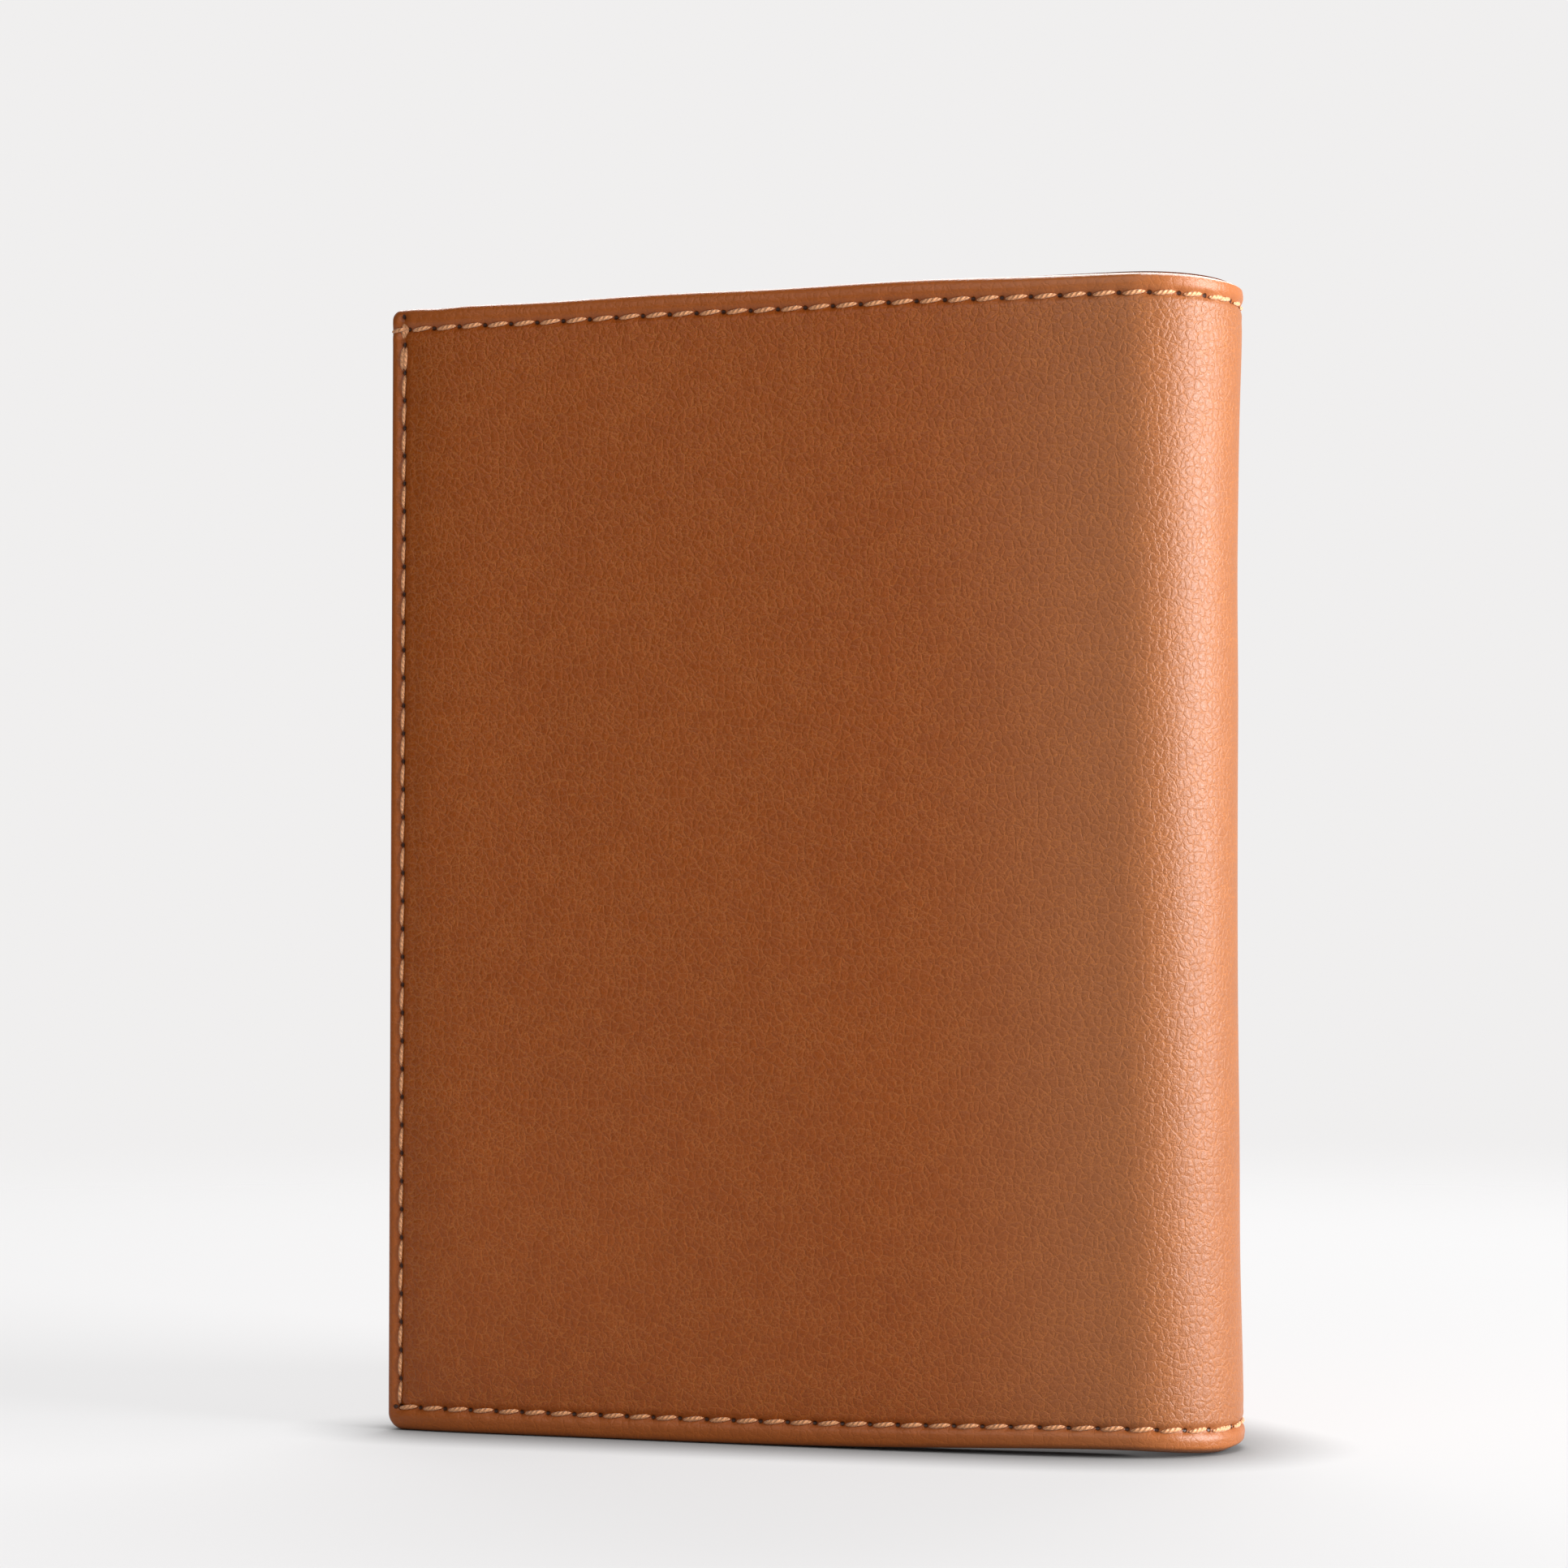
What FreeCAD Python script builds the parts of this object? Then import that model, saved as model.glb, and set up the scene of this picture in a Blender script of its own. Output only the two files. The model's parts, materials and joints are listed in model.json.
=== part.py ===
"""A tall leather bifold wallet, standing on its lower edge, part open.

All sizes are millimetres and angles are degrees. Z runs up the wallet's height. The back cover
lies along X with its outer face towards -Y, its free edge is at -X, and the round spine is at +X.
The front cover leaves the far end of the spine and stands behind the back cover.

Each half is modelled flat in its own frame: u runs from the start of the spine's curve to the
free edge, d runs inwards from the outer face, and z runs up. The back half is the mirror of that
frame, and the front half is turned round the spine.
"""

import FreeCAD
import Part
import math
import os

Vector = FreeCAD.Vector

# The case
HEIGHT = 133.0
COVER_WIDTH = 82.8
SPINE_RADIUS = 16.3
REST_TURN = 135.0
CLOSED_TURN = 180.0
FOLDS = 4
FOLD_PLAY = 0.1
SPINE_CLEARANCE = 0.5

# Thickness of each layer, and the room between layers at the middle of a half
LEATHER = 1.2
TURN_IN = 0.6
LINING = 0.4
PANEL = 0.8
POCKET = 0.5
FILM = 0.2
NOTE_ROOM = 4.6
CARD_ROOM = 0.45

# The turned edge, its rounding and the board that it frames
TURN_IN_WIDTH = 8.0
EDGE_ROUNDING = 0.5
TOP_CORNER = 1.2
BOTTOM_CORNER = 2.0
BOARD_CLEARANCE = 0.3
LINING_SET_BACK = 1.2

# Panels and pockets inside
LAYER_SET_BACK = 0.6
PANEL_REACH = 7.0
PANEL_DROP = 6.0
SEWN_WIDTH = 3.6
SLOPE_WIDTH = 10.0
TOP_MOUTH = 100.0
MOUTH_STEP = 12.0
BACK_POCKETS = 4
FRONT_POCKETS = 2

# The window in the front half
WINDOW_WIDTH = 60.0
WINDOW_HEIGHT = 46.0
WINDOW_CORNER = 4.0
FILM_LAP = 3.0

# Seams
HEM_INSET = 2.5
SIDE_INSET = 2.0
BOTTOM_INSET = 2.7
POCKET_SEAM_INSET = 1.4
STITCH_PITCH = 3.3
STITCH_SHARE = 0.75
THREAD_WIDTH = 0.5
THREAD_HEIGHT = 0.28
GROOVE_WIDTH = 0.9
GROOVE_DEPTH = 0.3

# Worked out from the sizes above
FOLD_TURN = REST_TURN / FOLDS
CLOSING_STEP = (CLOSED_TURN - REST_TURN) / FOLDS
END_TURN = FOLD_TURN / 2
END_LENGTH = SPINE_RADIUS * math.radians(END_TURN)
TURNED = LEATHER + TURN_IN
LINED = TURNED + LINING
SEWN_EDGE = COVER_WIDTH - LAYER_SET_BACK
LAND_U = SEWN_EDGE - SEWN_WIDTH
FLAT_U = LAND_U - SLOPE_WIDTH
LAND_Z = LAYER_SET_BACK + SEWN_WIDTH
FLAT_Z = LAND_Z + SLOPE_WIDTH
CLOSED_DEPTH = SPINE_RADIUS * REST_TURN / CLOSED_TURN
CUT_PAST = 1.0


def box(u0, u1, d0, d1, z0, z1):
    """A block between two corners."""
    return Part.makeBox(u1 - u0, d1 - d0, z1 - z0, Vector(u0, d0, z0))


def arc_point(depth, turn, z=0.0):
    """A point on the spine, at a depth under its outer face and a turn from the curve's start."""
    angle = math.radians(turn)
    radius = SPINE_RADIUS - depth
    return Vector(radius * math.sin(angle), SPINE_RADIUS - radius * math.cos(angle), z)


def trim(depth):
    """The turn that an edge stands back from its fold, so that it clears its neighbour closed."""
    gap = FOLD_PLAY + depth * math.tan(math.radians(CLOSING_STEP / 2))
    return math.degrees(gap / (SPINE_RADIUS - depth))


def extruded(edges, z0, z1):
    """The closed outline of edges, drawn at z0, raised to z1."""
    return Part.Face(Part.Wire(edges)).extrude(Vector(0, 0, z1 - z0))


def spine_arc(depth, start, end, z):
    """An arc edge of the spine at a depth, from one turn to another."""
    middle = arc_point(depth, (start + end) / 2, z)
    return Part.Arc(arc_point(depth, start, z), middle, arc_point(depth, end, z)).toShape()


def slat_layer(d0, d1, start, end, z0, z1):
    """A curved strip of the spine between two folds."""
    outer = (start + trim(d0), end - trim(d0))
    inner = (start + trim(d1), end - trim(d1))
    edges = [
        spine_arc(d0, outer[0], outer[1], z0),
        Part.makeLine(arc_point(d0, outer[1], z0), arc_point(d1, inner[1], z0)),
        spine_arc(d1, inner[1], inner[0], z0),
        Part.makeLine(arc_point(d1, inner[0], z0), arc_point(d0, outer[0], z0)),
    ]
    return extruded(edges, z0, z1)


def half_layer(d0, d1, free_edge, z0, z1):
    """A flat layer of one half with its share of the spine's curve, in the half's own frame."""
    outer = trim(d0) - END_TURN
    inner = trim(d1) - END_TURN
    edges = [
        Part.makeLine(Vector(free_edge, d0, z0), Vector(0, d0, z0)),
        spine_arc(d0, 0, outer, z0),
        Part.makeLine(arc_point(d0, outer, z0), arc_point(d1, inner, z0)),
        spine_arc(d1, inner, 0, z0),
        Part.makeLine(Vector(0, d1, z0), Vector(free_edge, d1, z0)),
        Part.makeLine(Vector(free_edge, d1, z0), Vector(free_edge, d0, z0)),
    ]
    return extruded(edges, z0, z1)


def fused(shapes):
    """One solid from touching solids, with no leftover seam edges."""
    return shapes[0].fuse(shapes[1:]).removeSplitter()


def rounded(solid, radius, chosen):
    """The solid with the edges that the test chooses rounded."""
    return solid.makeFillet(radius, [edge for edge in solid.Edges if chosen(edge)])


def at_level(edge, z):
    """True if an edge lies wholly at one height."""
    return abs(edge.BoundBox.ZMin - z) < 1e-4 and abs(edge.BoundBox.ZMax - z) < 1e-4


def on_outer_face(edge):
    """True if both ends of an edge lie on the outer face of its half."""
    for parameter in (edge.FirstParameter, edge.LastParameter):
        point = edge.valueAt(parameter)
        if point.x > 1e-4 or edge.BoundBox.XMax > SPINE_RADIUS:
            depth = point.y
        else:
            depth = SPINE_RADIUS - math.hypot(point.x, point.y - SPINE_RADIUS)
        if abs(depth) > 1e-3:
            return False
    return True


def groove_on_half(z):
    """The shallow channel that a level seam is sunk in, across one half."""
    low = z - GROOVE_WIDTH / 2
    flat = box(0, COVER_WIDTH + CUT_PAST, -CUT_PAST, GROOVE_DEPTH, low, low + GROOVE_WIDTH)
    edges = [
        spine_arc(GROOVE_DEPTH, 0, -FOLD_TURN, low),
        Part.makeLine(arc_point(GROOVE_DEPTH, -FOLD_TURN, low), arc_point(-CUT_PAST, -FOLD_TURN, low)),
        spine_arc(-CUT_PAST, -FOLD_TURN, 0, low),
        Part.makeLine(arc_point(-CUT_PAST, 0, low), arc_point(GROOVE_DEPTH, 0, low)),
    ]
    return [flat, extruded(edges, low, low + GROOVE_WIDTH)]


def side_groove():
    """The channel of the upright seam beside the free edge."""
    middle = COVER_WIDTH - SIDE_INSET
    half_width = GROOVE_WIDTH / 2
    top = HEIGHT - HEM_INSET
    return box(middle - half_width, middle + half_width, -CUT_PAST, GROOVE_DEPTH, BOTTOM_INSET, top)


def cover():
    """The outer leather of one half, with its edges turned in on three sides."""
    skin = half_layer(0, LEATHER, COVER_WIDTH, 0, HEIGHT)
    low_hem = half_layer(LEATHER, TURNED, COVER_WIDTH, 0, TURN_IN_WIDTH)
    top_hem = half_layer(LEATHER, TURNED, COVER_WIDTH, HEIGHT - TURN_IN_WIDTH, HEIGHT)
    side = box(COVER_WIDTH - TURN_IN_WIDTH, COVER_WIDTH, LEATHER, TURNED, 0, HEIGHT)
    solid = fused([skin, low_hem, top_hem, side])

    def corner(z):
        return lambda edge: at_level(edge, z) and edge.BoundBox.XMin > COVER_WIDTH - 1e-4

    solid = rounded(solid, BOTTOM_CORNER, corner(0))
    solid = rounded(solid, TOP_CORNER, corner(HEIGHT))

    def rim(edge):
        size = edge.BoundBox
        on_free_edge = size.XMax > COVER_WIDTH - BOTTOM_CORNER and size.XMin > 0
        level = at_level(edge, 0) or at_level(edge, HEIGHT)
        return on_outer_face(edge) and (on_free_edge or level)

    solid = rounded(solid, EDGE_ROUNDING, rim)
    seams = groove_on_half(BOTTOM_INSET) + groove_on_half(HEIGHT - HEM_INSET) + [side_groove()]
    return solid.cut(seams)


def board():
    """The stiff card inside the turned edge."""
    reach = TURN_IN_WIDTH + BOARD_CLEARANCE
    return box(0, COVER_WIDTH - reach, LEATHER, TURNED, reach, HEIGHT - reach)


def half_lining():
    """The cloth lining of one half."""
    edge = COVER_WIDTH - LINING_SET_BACK
    return half_layer(TURNED, LINED, edge, LINING_SET_BACK, HEIGHT - LINING_SET_BACK)


def sewn_depth(index):
    """How deep layer 0, the panel, or a pocket lies where all are sewn together."""
    return LINED if index == 0 else LINED + PANEL + (index - 1) * POCKET


def middle_depth(index):
    """How deep the panel or a pocket lies at the middle of the half."""
    raised = LINED + NOTE_ROOM
    return raised if index == 0 else raised + PANEL + CARD_ROOM + (index - 1) * (POCKET + CARD_ROOM)


def rectangle(u0, u1, z0, z1, depth):
    """A rectangular wire at one depth."""
    corners = [
        Vector(u0, depth, z0),
        Vector(u1, depth, z0),
        Vector(u1, depth, z1),
        Vector(u0, depth, z1),
    ]
    return Part.makePolygon(corners + corners[:1])


def mound(sewn, middle, top):
    """All that lies under an inner layer: a slab, and a raised block with two sloping sides."""
    slab = box(-PANEL_REACH, SEWN_EDGE, 0, sewn, LAYER_SET_BACK, top)
    low = rectangle(-PANEL_REACH, LAND_U, LAND_Z, top, sewn)
    high = rectangle(-PANEL_REACH, FLAT_U, FLAT_Z, top, middle)
    return slab.fuse(Part.makeLoft([low, high], True, True)).removeSplitter()


def beyond_spine():
    """All past the start of the curve that the spine's lining sweeps as the wallet closes."""
    centre = Vector(0, CLOSED_DEPTH, 0)
    hollow = Part.makeCylinder(CLOSED_DEPTH - LINED - SPINE_CLEARANCE, HEIGHT, centre)
    return box(-2 * PANEL_REACH, 0, 0, 2 * CLOSED_DEPTH, 0, HEIGHT).cut(hollow)


def inner_layer(index, thickness, top):
    """A sheet that is sewn down at the free edge and the bottom and stands clear elsewhere."""
    sewn = sewn_depth(index)
    middle = middle_depth(index)
    sheet = mound(sewn + thickness, middle + thickness, top).cut(mound(sewn, middle, top))
    return sheet.cut(beyond_spine())


def mouth(index):
    """The height of a pocket's mouth. Pocket 1 is the highest and lies deepest in the stack."""
    return TOP_MOUTH - (index - 1) * MOUTH_STEP


def window_span():
    """The window's sides: u from and to, z from and to."""
    centre = (FLAT_U - PANEL_REACH) / 2
    low = FLAT_Z + FILM_LAP
    return centre - WINDOW_WIDTH / 2, centre + WINDOW_WIDTH / 2, low, low + WINDOW_HEIGHT


def window_frame(index):
    """The leather frame of the window pocket, in front of the card pockets."""
    u0, u1, z0, z1 = window_span()
    sheet = inner_layer(index, POCKET, mouth(index))
    depth = middle_depth(index)
    hole = box(u0, u1, depth - CUT_PAST, depth + CUT_PAST, z0, z1)
    hole = rounded(hole, WINDOW_CORNER, lambda edge: edge.BoundBox.YLength > CUT_PAST)
    return sheet.cut(hole)


def window_film(index):
    """The clear film behind the window frame."""
    u0, u1, z0, z1 = window_span()
    depth = middle_depth(index)
    return box(u0 - FILM_LAP, u1 + FILM_LAP, depth - FILM, depth, z0 - FILM_LAP, z1 + FILM_LAP)


def stitch(length, height=THREAD_HEIGHT, upright=False):
    """One stitch, centred in u and z, with its top at d = 0."""
    along = length / 2
    across = THREAD_WIDTH / 2
    if upright:
        return box(-across, across, 0, height, -along, along)
    return box(-along, along, 0, height, -across, across)


def stitch_sunk():
    """How far the top of a stitch lies under the leather's face."""
    return GROOVE_DEPTH - THREAD_HEIGHT


def level_stitch(turn, length, z):
    """A stitch across the spine, at a turn from the start of the curve, within its channel."""
    sag = length * length / (8 * SPINE_RADIUS)
    piece = stitch(length, THREAD_HEIGHT - sag)
    piece.translate(Vector(0, stitch_sunk() + sag, z))
    piece.rotate(Vector(0, SPINE_RADIUS, 0), Vector(0, 0, 1), turn)
    return piece


def level_seam(z, last):
    """The stitches of a level seam across one half, from its fold to the free edge."""
    run = END_LENGTH + last
    count = round(run / STITCH_PITCH)
    pitch = run / count
    length = pitch * STITCH_SHARE
    pieces = []
    for i in range(count):
        place = (i + 0.5) * pitch - END_LENGTH
        if place < 0:
            pieces.append(level_stitch(math.degrees(place / SPINE_RADIUS), length, z))
        else:
            piece = stitch(length)
            piece.translate(Vector(place, stitch_sunk(), z))
            pieces.append(piece)
    return pieces


def upright_seam(u, depth_at, low, high):
    """Stitches up a half at one u, each at the depth that depth_at gives for its height."""
    count = round((high - low) / STITCH_PITCH)
    pitch = (high - low) / count
    pieces = []
    for i in range(count):
        z = low + (i + 0.5) * pitch
        piece = stitch(pitch * STITCH_SHARE, upright=True)
        piece.translate(Vector(u, depth_at(z), z))
        pieces.append(piece)
    return pieces


def case_thread():
    """The seam that closes one half: up beside the free edge and along the bottom."""
    side = COVER_WIDTH - SIDE_INSET
    pieces = level_seam(BOTTOM_INSET, side)
    pieces += upright_seam(side, lambda z: stitch_sunk(), BOTTOM_INSET, HEIGHT - HEM_INSET)
    return Part.makeCompound(pieces)


def hem_thread():
    """The seam along the top edge of one half."""
    return Part.makeCompound(level_seam(HEIGHT - HEM_INSET, COVER_WIDTH))


def pocket_thread(pockets):
    """The seam that joins the pockets to the panel on the spine side, on the stack's face."""

    def face(z):
        covering = [index for index in range(1, pockets + 1) if mouth(index) > z + STITCH_PITCH / 2]
        if covering:
            return middle_depth(covering[-1]) + POCKET
        return middle_depth(0) + PANEL

    u = POCKET_SEAM_INSET - PANEL_REACH
    pieces = []
    levels = [FLAT_Z] + sorted(mouth(index) for index in range(1, pockets + 1))
    levels.append(HEIGHT - PANEL_DROP)
    for low, high in zip(levels, levels[1:]):
        pieces += upright_seam(u, face, low, high)
    return Part.makeCompound(pieces)


def half_parts():
    """The sub-parts that both halves have, in the half's own frame."""
    return {
        "cover": cover(),
        "board": board(),
        "lining": half_lining(),
        "panel": inner_layer(0, PANEL, HEIGHT - PANEL_DROP),
        "seam_thread": case_thread(),
        "hem_thread": hem_thread(),
    }


def back_parts():
    """The back half, with its stepped card pockets."""
    parts = half_parts()
    for index in range(1, BACK_POCKETS + 1):
        parts[f"card_pocket_{index}"] = inner_layer(index, POCKET, mouth(index))
    parts["pocket_thread"] = pocket_thread(BACK_POCKETS)
    return parts


def front_parts():
    """The front half, with two card pockets behind the window pocket."""
    parts = half_parts()
    for index in range(1, FRONT_POCKETS + 1):
        parts[f"card_pocket_{index}"] = inner_layer(index, POCKET, mouth(index))
    window = FRONT_POCKETS + 1
    parts["window_frame"] = window_frame(window)
    parts["window_film"] = window_film(window)
    parts["pocket_thread"] = pocket_thread(window)
    return parts


def slat_leather(start, end):
    """The outer leather between two folds, with its edges turned in at top and bottom."""
    skin = slat_layer(0, LEATHER, start, end, 0, HEIGHT)
    low_hem = slat_layer(LEATHER, TURNED, start, end, 0, TURN_IN_WIDTH)
    top_hem = slat_layer(LEATHER, TURNED, start, end, HEIGHT - TURN_IN_WIDTH, HEIGHT)
    solid = fused([skin, low_hem, top_hem])

    def rim(edge):
        level = at_level(edge, 0) or at_level(edge, HEIGHT)
        centre = Vector(0, SPINE_RADIUS, edge.BoundBox.ZMin)
        ends = [edge.valueAt(edge.FirstParameter), edge.valueAt(edge.LastParameter)]
        return level and all(abs((end - centre).Length - SPINE_RADIUS) < 1e-3 for end in ends)

    solid = rounded(solid, EDGE_ROUNDING, rim)
    rings = []
    for z in (BOTTOM_INSET, HEIGHT - HEM_INSET):
        low = Vector(0, SPINE_RADIUS, z - GROOVE_WIDTH / 2)
        outer = Part.makeCylinder(SPINE_RADIUS + CUT_PAST, GROOVE_WIDTH, low)
        rings.append(outer.cut(Part.makeCylinder(SPINE_RADIUS - GROOVE_DEPTH, GROOVE_WIDTH, low)))
    return solid.cut(rings)


def slat_thread(start, end):
    """The stitches of both level seams between two folds."""
    run = math.radians(end - start) * SPINE_RADIUS
    count = round(run / STITCH_PITCH)
    step = (end - start) / count
    length = run / count * STITCH_SHARE
    pieces = []
    for z in (BOTTOM_INSET, HEIGHT - HEM_INSET):
        for i in range(count):
            pieces.append(level_stitch(start + (i + 0.5) * step, length, z))
    return Part.makeCompound(pieces)


def as_back(shape):
    """A shape of a half's own frame, put where the back half is."""
    return shape.mirror(Vector(0, 0, 0), Vector(1, 0, 0))


def as_front(shape):
    """A shape of a half's own frame, put where the front half is."""
    placed = shape.copy()
    placed.rotate(Vector(0, 0, 0), Vector(0, 0, 1), REST_TURN)
    placed.translate(arc_point(0, REST_TURN))
    return placed


def fold_turns():
    """The turn of each fold from the start of the spine's curve."""
    return [(i + 0.5) * FOLD_TURN for i in range(FOLDS)]


def wallet():
    """Every sub-part by name, with the start of the spine's curve at the origin."""
    parts = {f"back_{name}": as_back(shape) for name, shape in back_parts().items()}
    parts.update({f"front_{name}": as_front(shape) for name, shape in front_parts().items()})
    turns = fold_turns()
    for number, (start, end) in enumerate(zip(turns, turns[1:]), 1):
        parts[f"spine_leather_{number}"] = slat_leather(start, end)
        low = LINING_SET_BACK
        lining = slat_layer(TURNED, LINED, start, end, low, HEIGHT - low)
        parts[f"spine_lining_{number}"] = lining
        parts[f"spine_thread_{number}"] = slat_thread(start, end)
    return parts


def main():
    """Puts the origin at the middle of the base and writes one STEP file for each sub-part."""
    os.makedirs("parts", exist_ok=True)
    parts = wallet()
    size = Part.makeCompound(list(parts.values())).optimalBoundingBox(False, False)
    shift = Vector(-(size.XMin + size.XMax) / 2, -(size.YMin + size.YMax) / 2, -size.ZMin)
    for name, shape in parts.items():
        shape.translate(shift)
        shape.exportStep(f"parts/{name}.step")
        print(name, len(shape.Solids), "solids", round(shape.Volume, 2), "mm3", shape.isValid())
    print("size", round(size.XLength, 3), round(size.YLength, 3), round(size.ZLength, 3))
    print("start of the spine's curve", round(shift.x, 4), round(shift.y, 4))
    for number, turn in enumerate(fold_turns(), 1):
        line = arc_point(0, turn) + shift
        print("fold", number, "stands at", round(line.x, 4), round(line.y, 4))


main()
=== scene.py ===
"""A tall tan leather bifold wallet that stands part open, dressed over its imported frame.

The case is one sheet of leather. A place on it is s, the distance along the sheet from the back
cover's free edge, z, the height, and d, the depth under the outer face, all in millimetres. A half
is also measured as in the part's source: u runs from the start of the spine's curve to the free
edge. Only the last step of each mesh turns millimetres into metres.
"""

import json
import math

import bpy
import numpy as np
from mathutils import Matrix, Vector


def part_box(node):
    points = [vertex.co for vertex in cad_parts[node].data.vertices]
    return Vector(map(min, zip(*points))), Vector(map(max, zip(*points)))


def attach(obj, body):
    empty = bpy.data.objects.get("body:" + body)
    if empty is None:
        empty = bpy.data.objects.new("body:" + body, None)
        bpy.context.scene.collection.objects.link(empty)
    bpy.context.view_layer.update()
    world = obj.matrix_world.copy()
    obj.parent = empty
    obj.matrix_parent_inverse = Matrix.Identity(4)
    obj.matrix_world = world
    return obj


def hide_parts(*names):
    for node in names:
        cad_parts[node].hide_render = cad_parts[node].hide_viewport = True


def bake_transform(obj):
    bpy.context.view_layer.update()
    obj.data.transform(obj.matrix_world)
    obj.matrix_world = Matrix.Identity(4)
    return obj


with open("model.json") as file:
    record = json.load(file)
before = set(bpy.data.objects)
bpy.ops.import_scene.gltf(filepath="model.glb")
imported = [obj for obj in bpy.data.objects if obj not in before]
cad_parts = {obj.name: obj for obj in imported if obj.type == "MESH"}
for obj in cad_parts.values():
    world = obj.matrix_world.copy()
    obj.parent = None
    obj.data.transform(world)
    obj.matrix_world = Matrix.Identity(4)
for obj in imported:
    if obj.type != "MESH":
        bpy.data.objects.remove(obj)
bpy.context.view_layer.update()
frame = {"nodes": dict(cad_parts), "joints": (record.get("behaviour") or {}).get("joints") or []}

bl_info = {
    "name": "Bifold wallet",
    "version": (1, 0, 0),
    "blender": (4, 5, 0),
    "location": "View3D > Sidebar > Wallet",
    "description": "Dresses the packed wallet with soft leather, lining, thread and clear film",
    "category": "Object",
}

MM = 0.001
BODIES = ["back_half", "spine_slat_1", "spine_slat_2", "spine_slat_3", "front_half"]


def node_box(node):
    """The lowest and highest corner of a node, in millimetres."""
    low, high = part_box(node)
    return np.array(low) / MM, np.array(high) / MM


# Sizes of the case, read from the frame
COVER_LOW, COVER_HIGH = node_box("back_cover")
BOARD_LOW, BOARD_HIGH = node_box("back_board")
PANEL_LOW, PANEL_HIGH = node_box("back_panel")
LINING_LOW, LINING_HIGH = node_box("back_lining")
START = np.array([BOARD_HIGH[0], COVER_LOW[1]])
HEIGHT = COVER_HIGH[2]
COVER_WIDTH = START[0] - COVER_LOW[0]
LEATHER = BOARD_LOW[1] - START[1]
TURNED = BOARD_HIGH[1] - START[1]
LINED = PANEL_LOW[1] - START[1]
FOLDS = len(frame["joints"])
REST_TURN = 180 + FOLDS * frame["joints"][0]["range_deg"][0]
FOLD_TURN = REST_TURN / FOLDS
FIRST_FOLD = frame["joints"][0]["pos_m"][0] / MM - START[0]
SPINE_RADIUS = FIRST_FOLD / math.sin(math.radians(FOLD_TURN / 2))
SPINE_LENGTH = SPINE_RADIUS * math.radians(REST_TURN)
CASE_LENGTH = 2 * COVER_WIDTH + SPINE_LENGTH
CLOSED_DEPTH = SPINE_RADIUS * REST_TURN / 180

# Sizes of the inner layers, read from the frame
SEWN_EDGE = START[0] - PANEL_LOW[0]
PANEL_TOP = PANEL_HIGH[2]
PANEL_REACH = PANEL_HIGH[0] - START[0]
LAYER_LOW = PANEL_LOW[2]
FIRST_POCKET_LOW, FIRST_POCKET_HIGH = node_box("back_card_pocket_1")
SECOND_POCKET_LOW, SECOND_POCKET_HIGH = node_box("back_card_pocket_2")
PANEL = FIRST_POCKET_LOW[1] - PANEL_LOW[1]
POCKET = SECOND_POCKET_LOW[1] - FIRST_POCKET_LOW[1]
BOARD_REACH = COVER_WIDTH - (START[0] - BOARD_LOW[0])

# The soft line that the case takes in plan, as turns in degrees and lengths in millimetres
EDGE_CURL = 12.0
CURL_LENGTH = 15.0
EASE_START = 45.0
EASE_TURN = 9.8
CORE_START = 90.1
CURVE_STEPS = 2401
SOFTENING_STEPS = 61

# The turned edge
TURN_IN_WIDTH = 8.0
EDGE_ROUNDING = 0.85
TOP_CORNER = 1.2
BOTTOM_CORNER = 2.0

# Seams: where they run and where their first needle hole is
HEM_INSET = 2.5
HEM_FIRST_HOLE = 2.69
HEM_PITCH = 3.34
CASE_INSET = 2.7
CASE_FIRST_HOLE = 1.44
CASE_PITCH = 3.28
SIDE_INSET = 2.0
SIDE_TOP = 0.95
SIDE_STITCHES = 39
SIDE_PITCH = (HEIGHT - SIDE_TOP - CASE_INSET) / SIDE_STITCHES
DOUBLED_STITCHES = 2
POCKET_SEAM_INSET = 1.4

# Soft shape of the leather
CHANNEL_DEPTH = 0.2
PINCH_DEPTH = 0.16
CHANNEL_WIDTH = 0.42
CHEEK = 0.07
HEM_PUFF = 0.1
BODY_SWELL = 0.14
TOP_FLARE = 0.95
LOW_FLARE = 0.5
EDGE_LIFT = 0.8
EDGE_LIFT_PLACE = 88.0
TOP_DIP = 0.16
TOP_DIP_PLACE = 6.5

# The sewn rim of the inner layers, and the window
SEWN_WIDTH = 3.6
SLOPE_WIDTH = 10.0
WINDOW_CORNER = 4.0
FILM_LAP = 3.0

# Mesh spacing
CASE_STEP = 0.55
LAYER_STEP = 1.25


class WalletSizes(bpy.types.PropertyGroup):
    """The small sizes that a user would change."""

    thread_width: bpy.props.FloatProperty(
        name="Thread width", description="Width of a stitch", default=0.00054, unit="LENGTH"
    )
    thread_height: bpy.props.FloatProperty(
        name="Thread height", description="How thick a stitch is", default=0.00046, unit="LENGTH"
    )
    stitch_lean: bpy.props.FloatProperty(
        name="Stitch lean",
        description="How far a stitch is turned out of the line of its seam",
        default=math.radians(7.0),
        subtype="ANGLE",
    )
    large_cell: bpy.props.FloatProperty(
        name="Large grain", description="Width of the large grain cells", default=0.00098, unit="LENGTH"
    )
    small_cell: bpy.props.FloatProperty(
        name="Small grain", description="Width of the small grain cells", default=0.00046, unit="LENGTH"
    )


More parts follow.
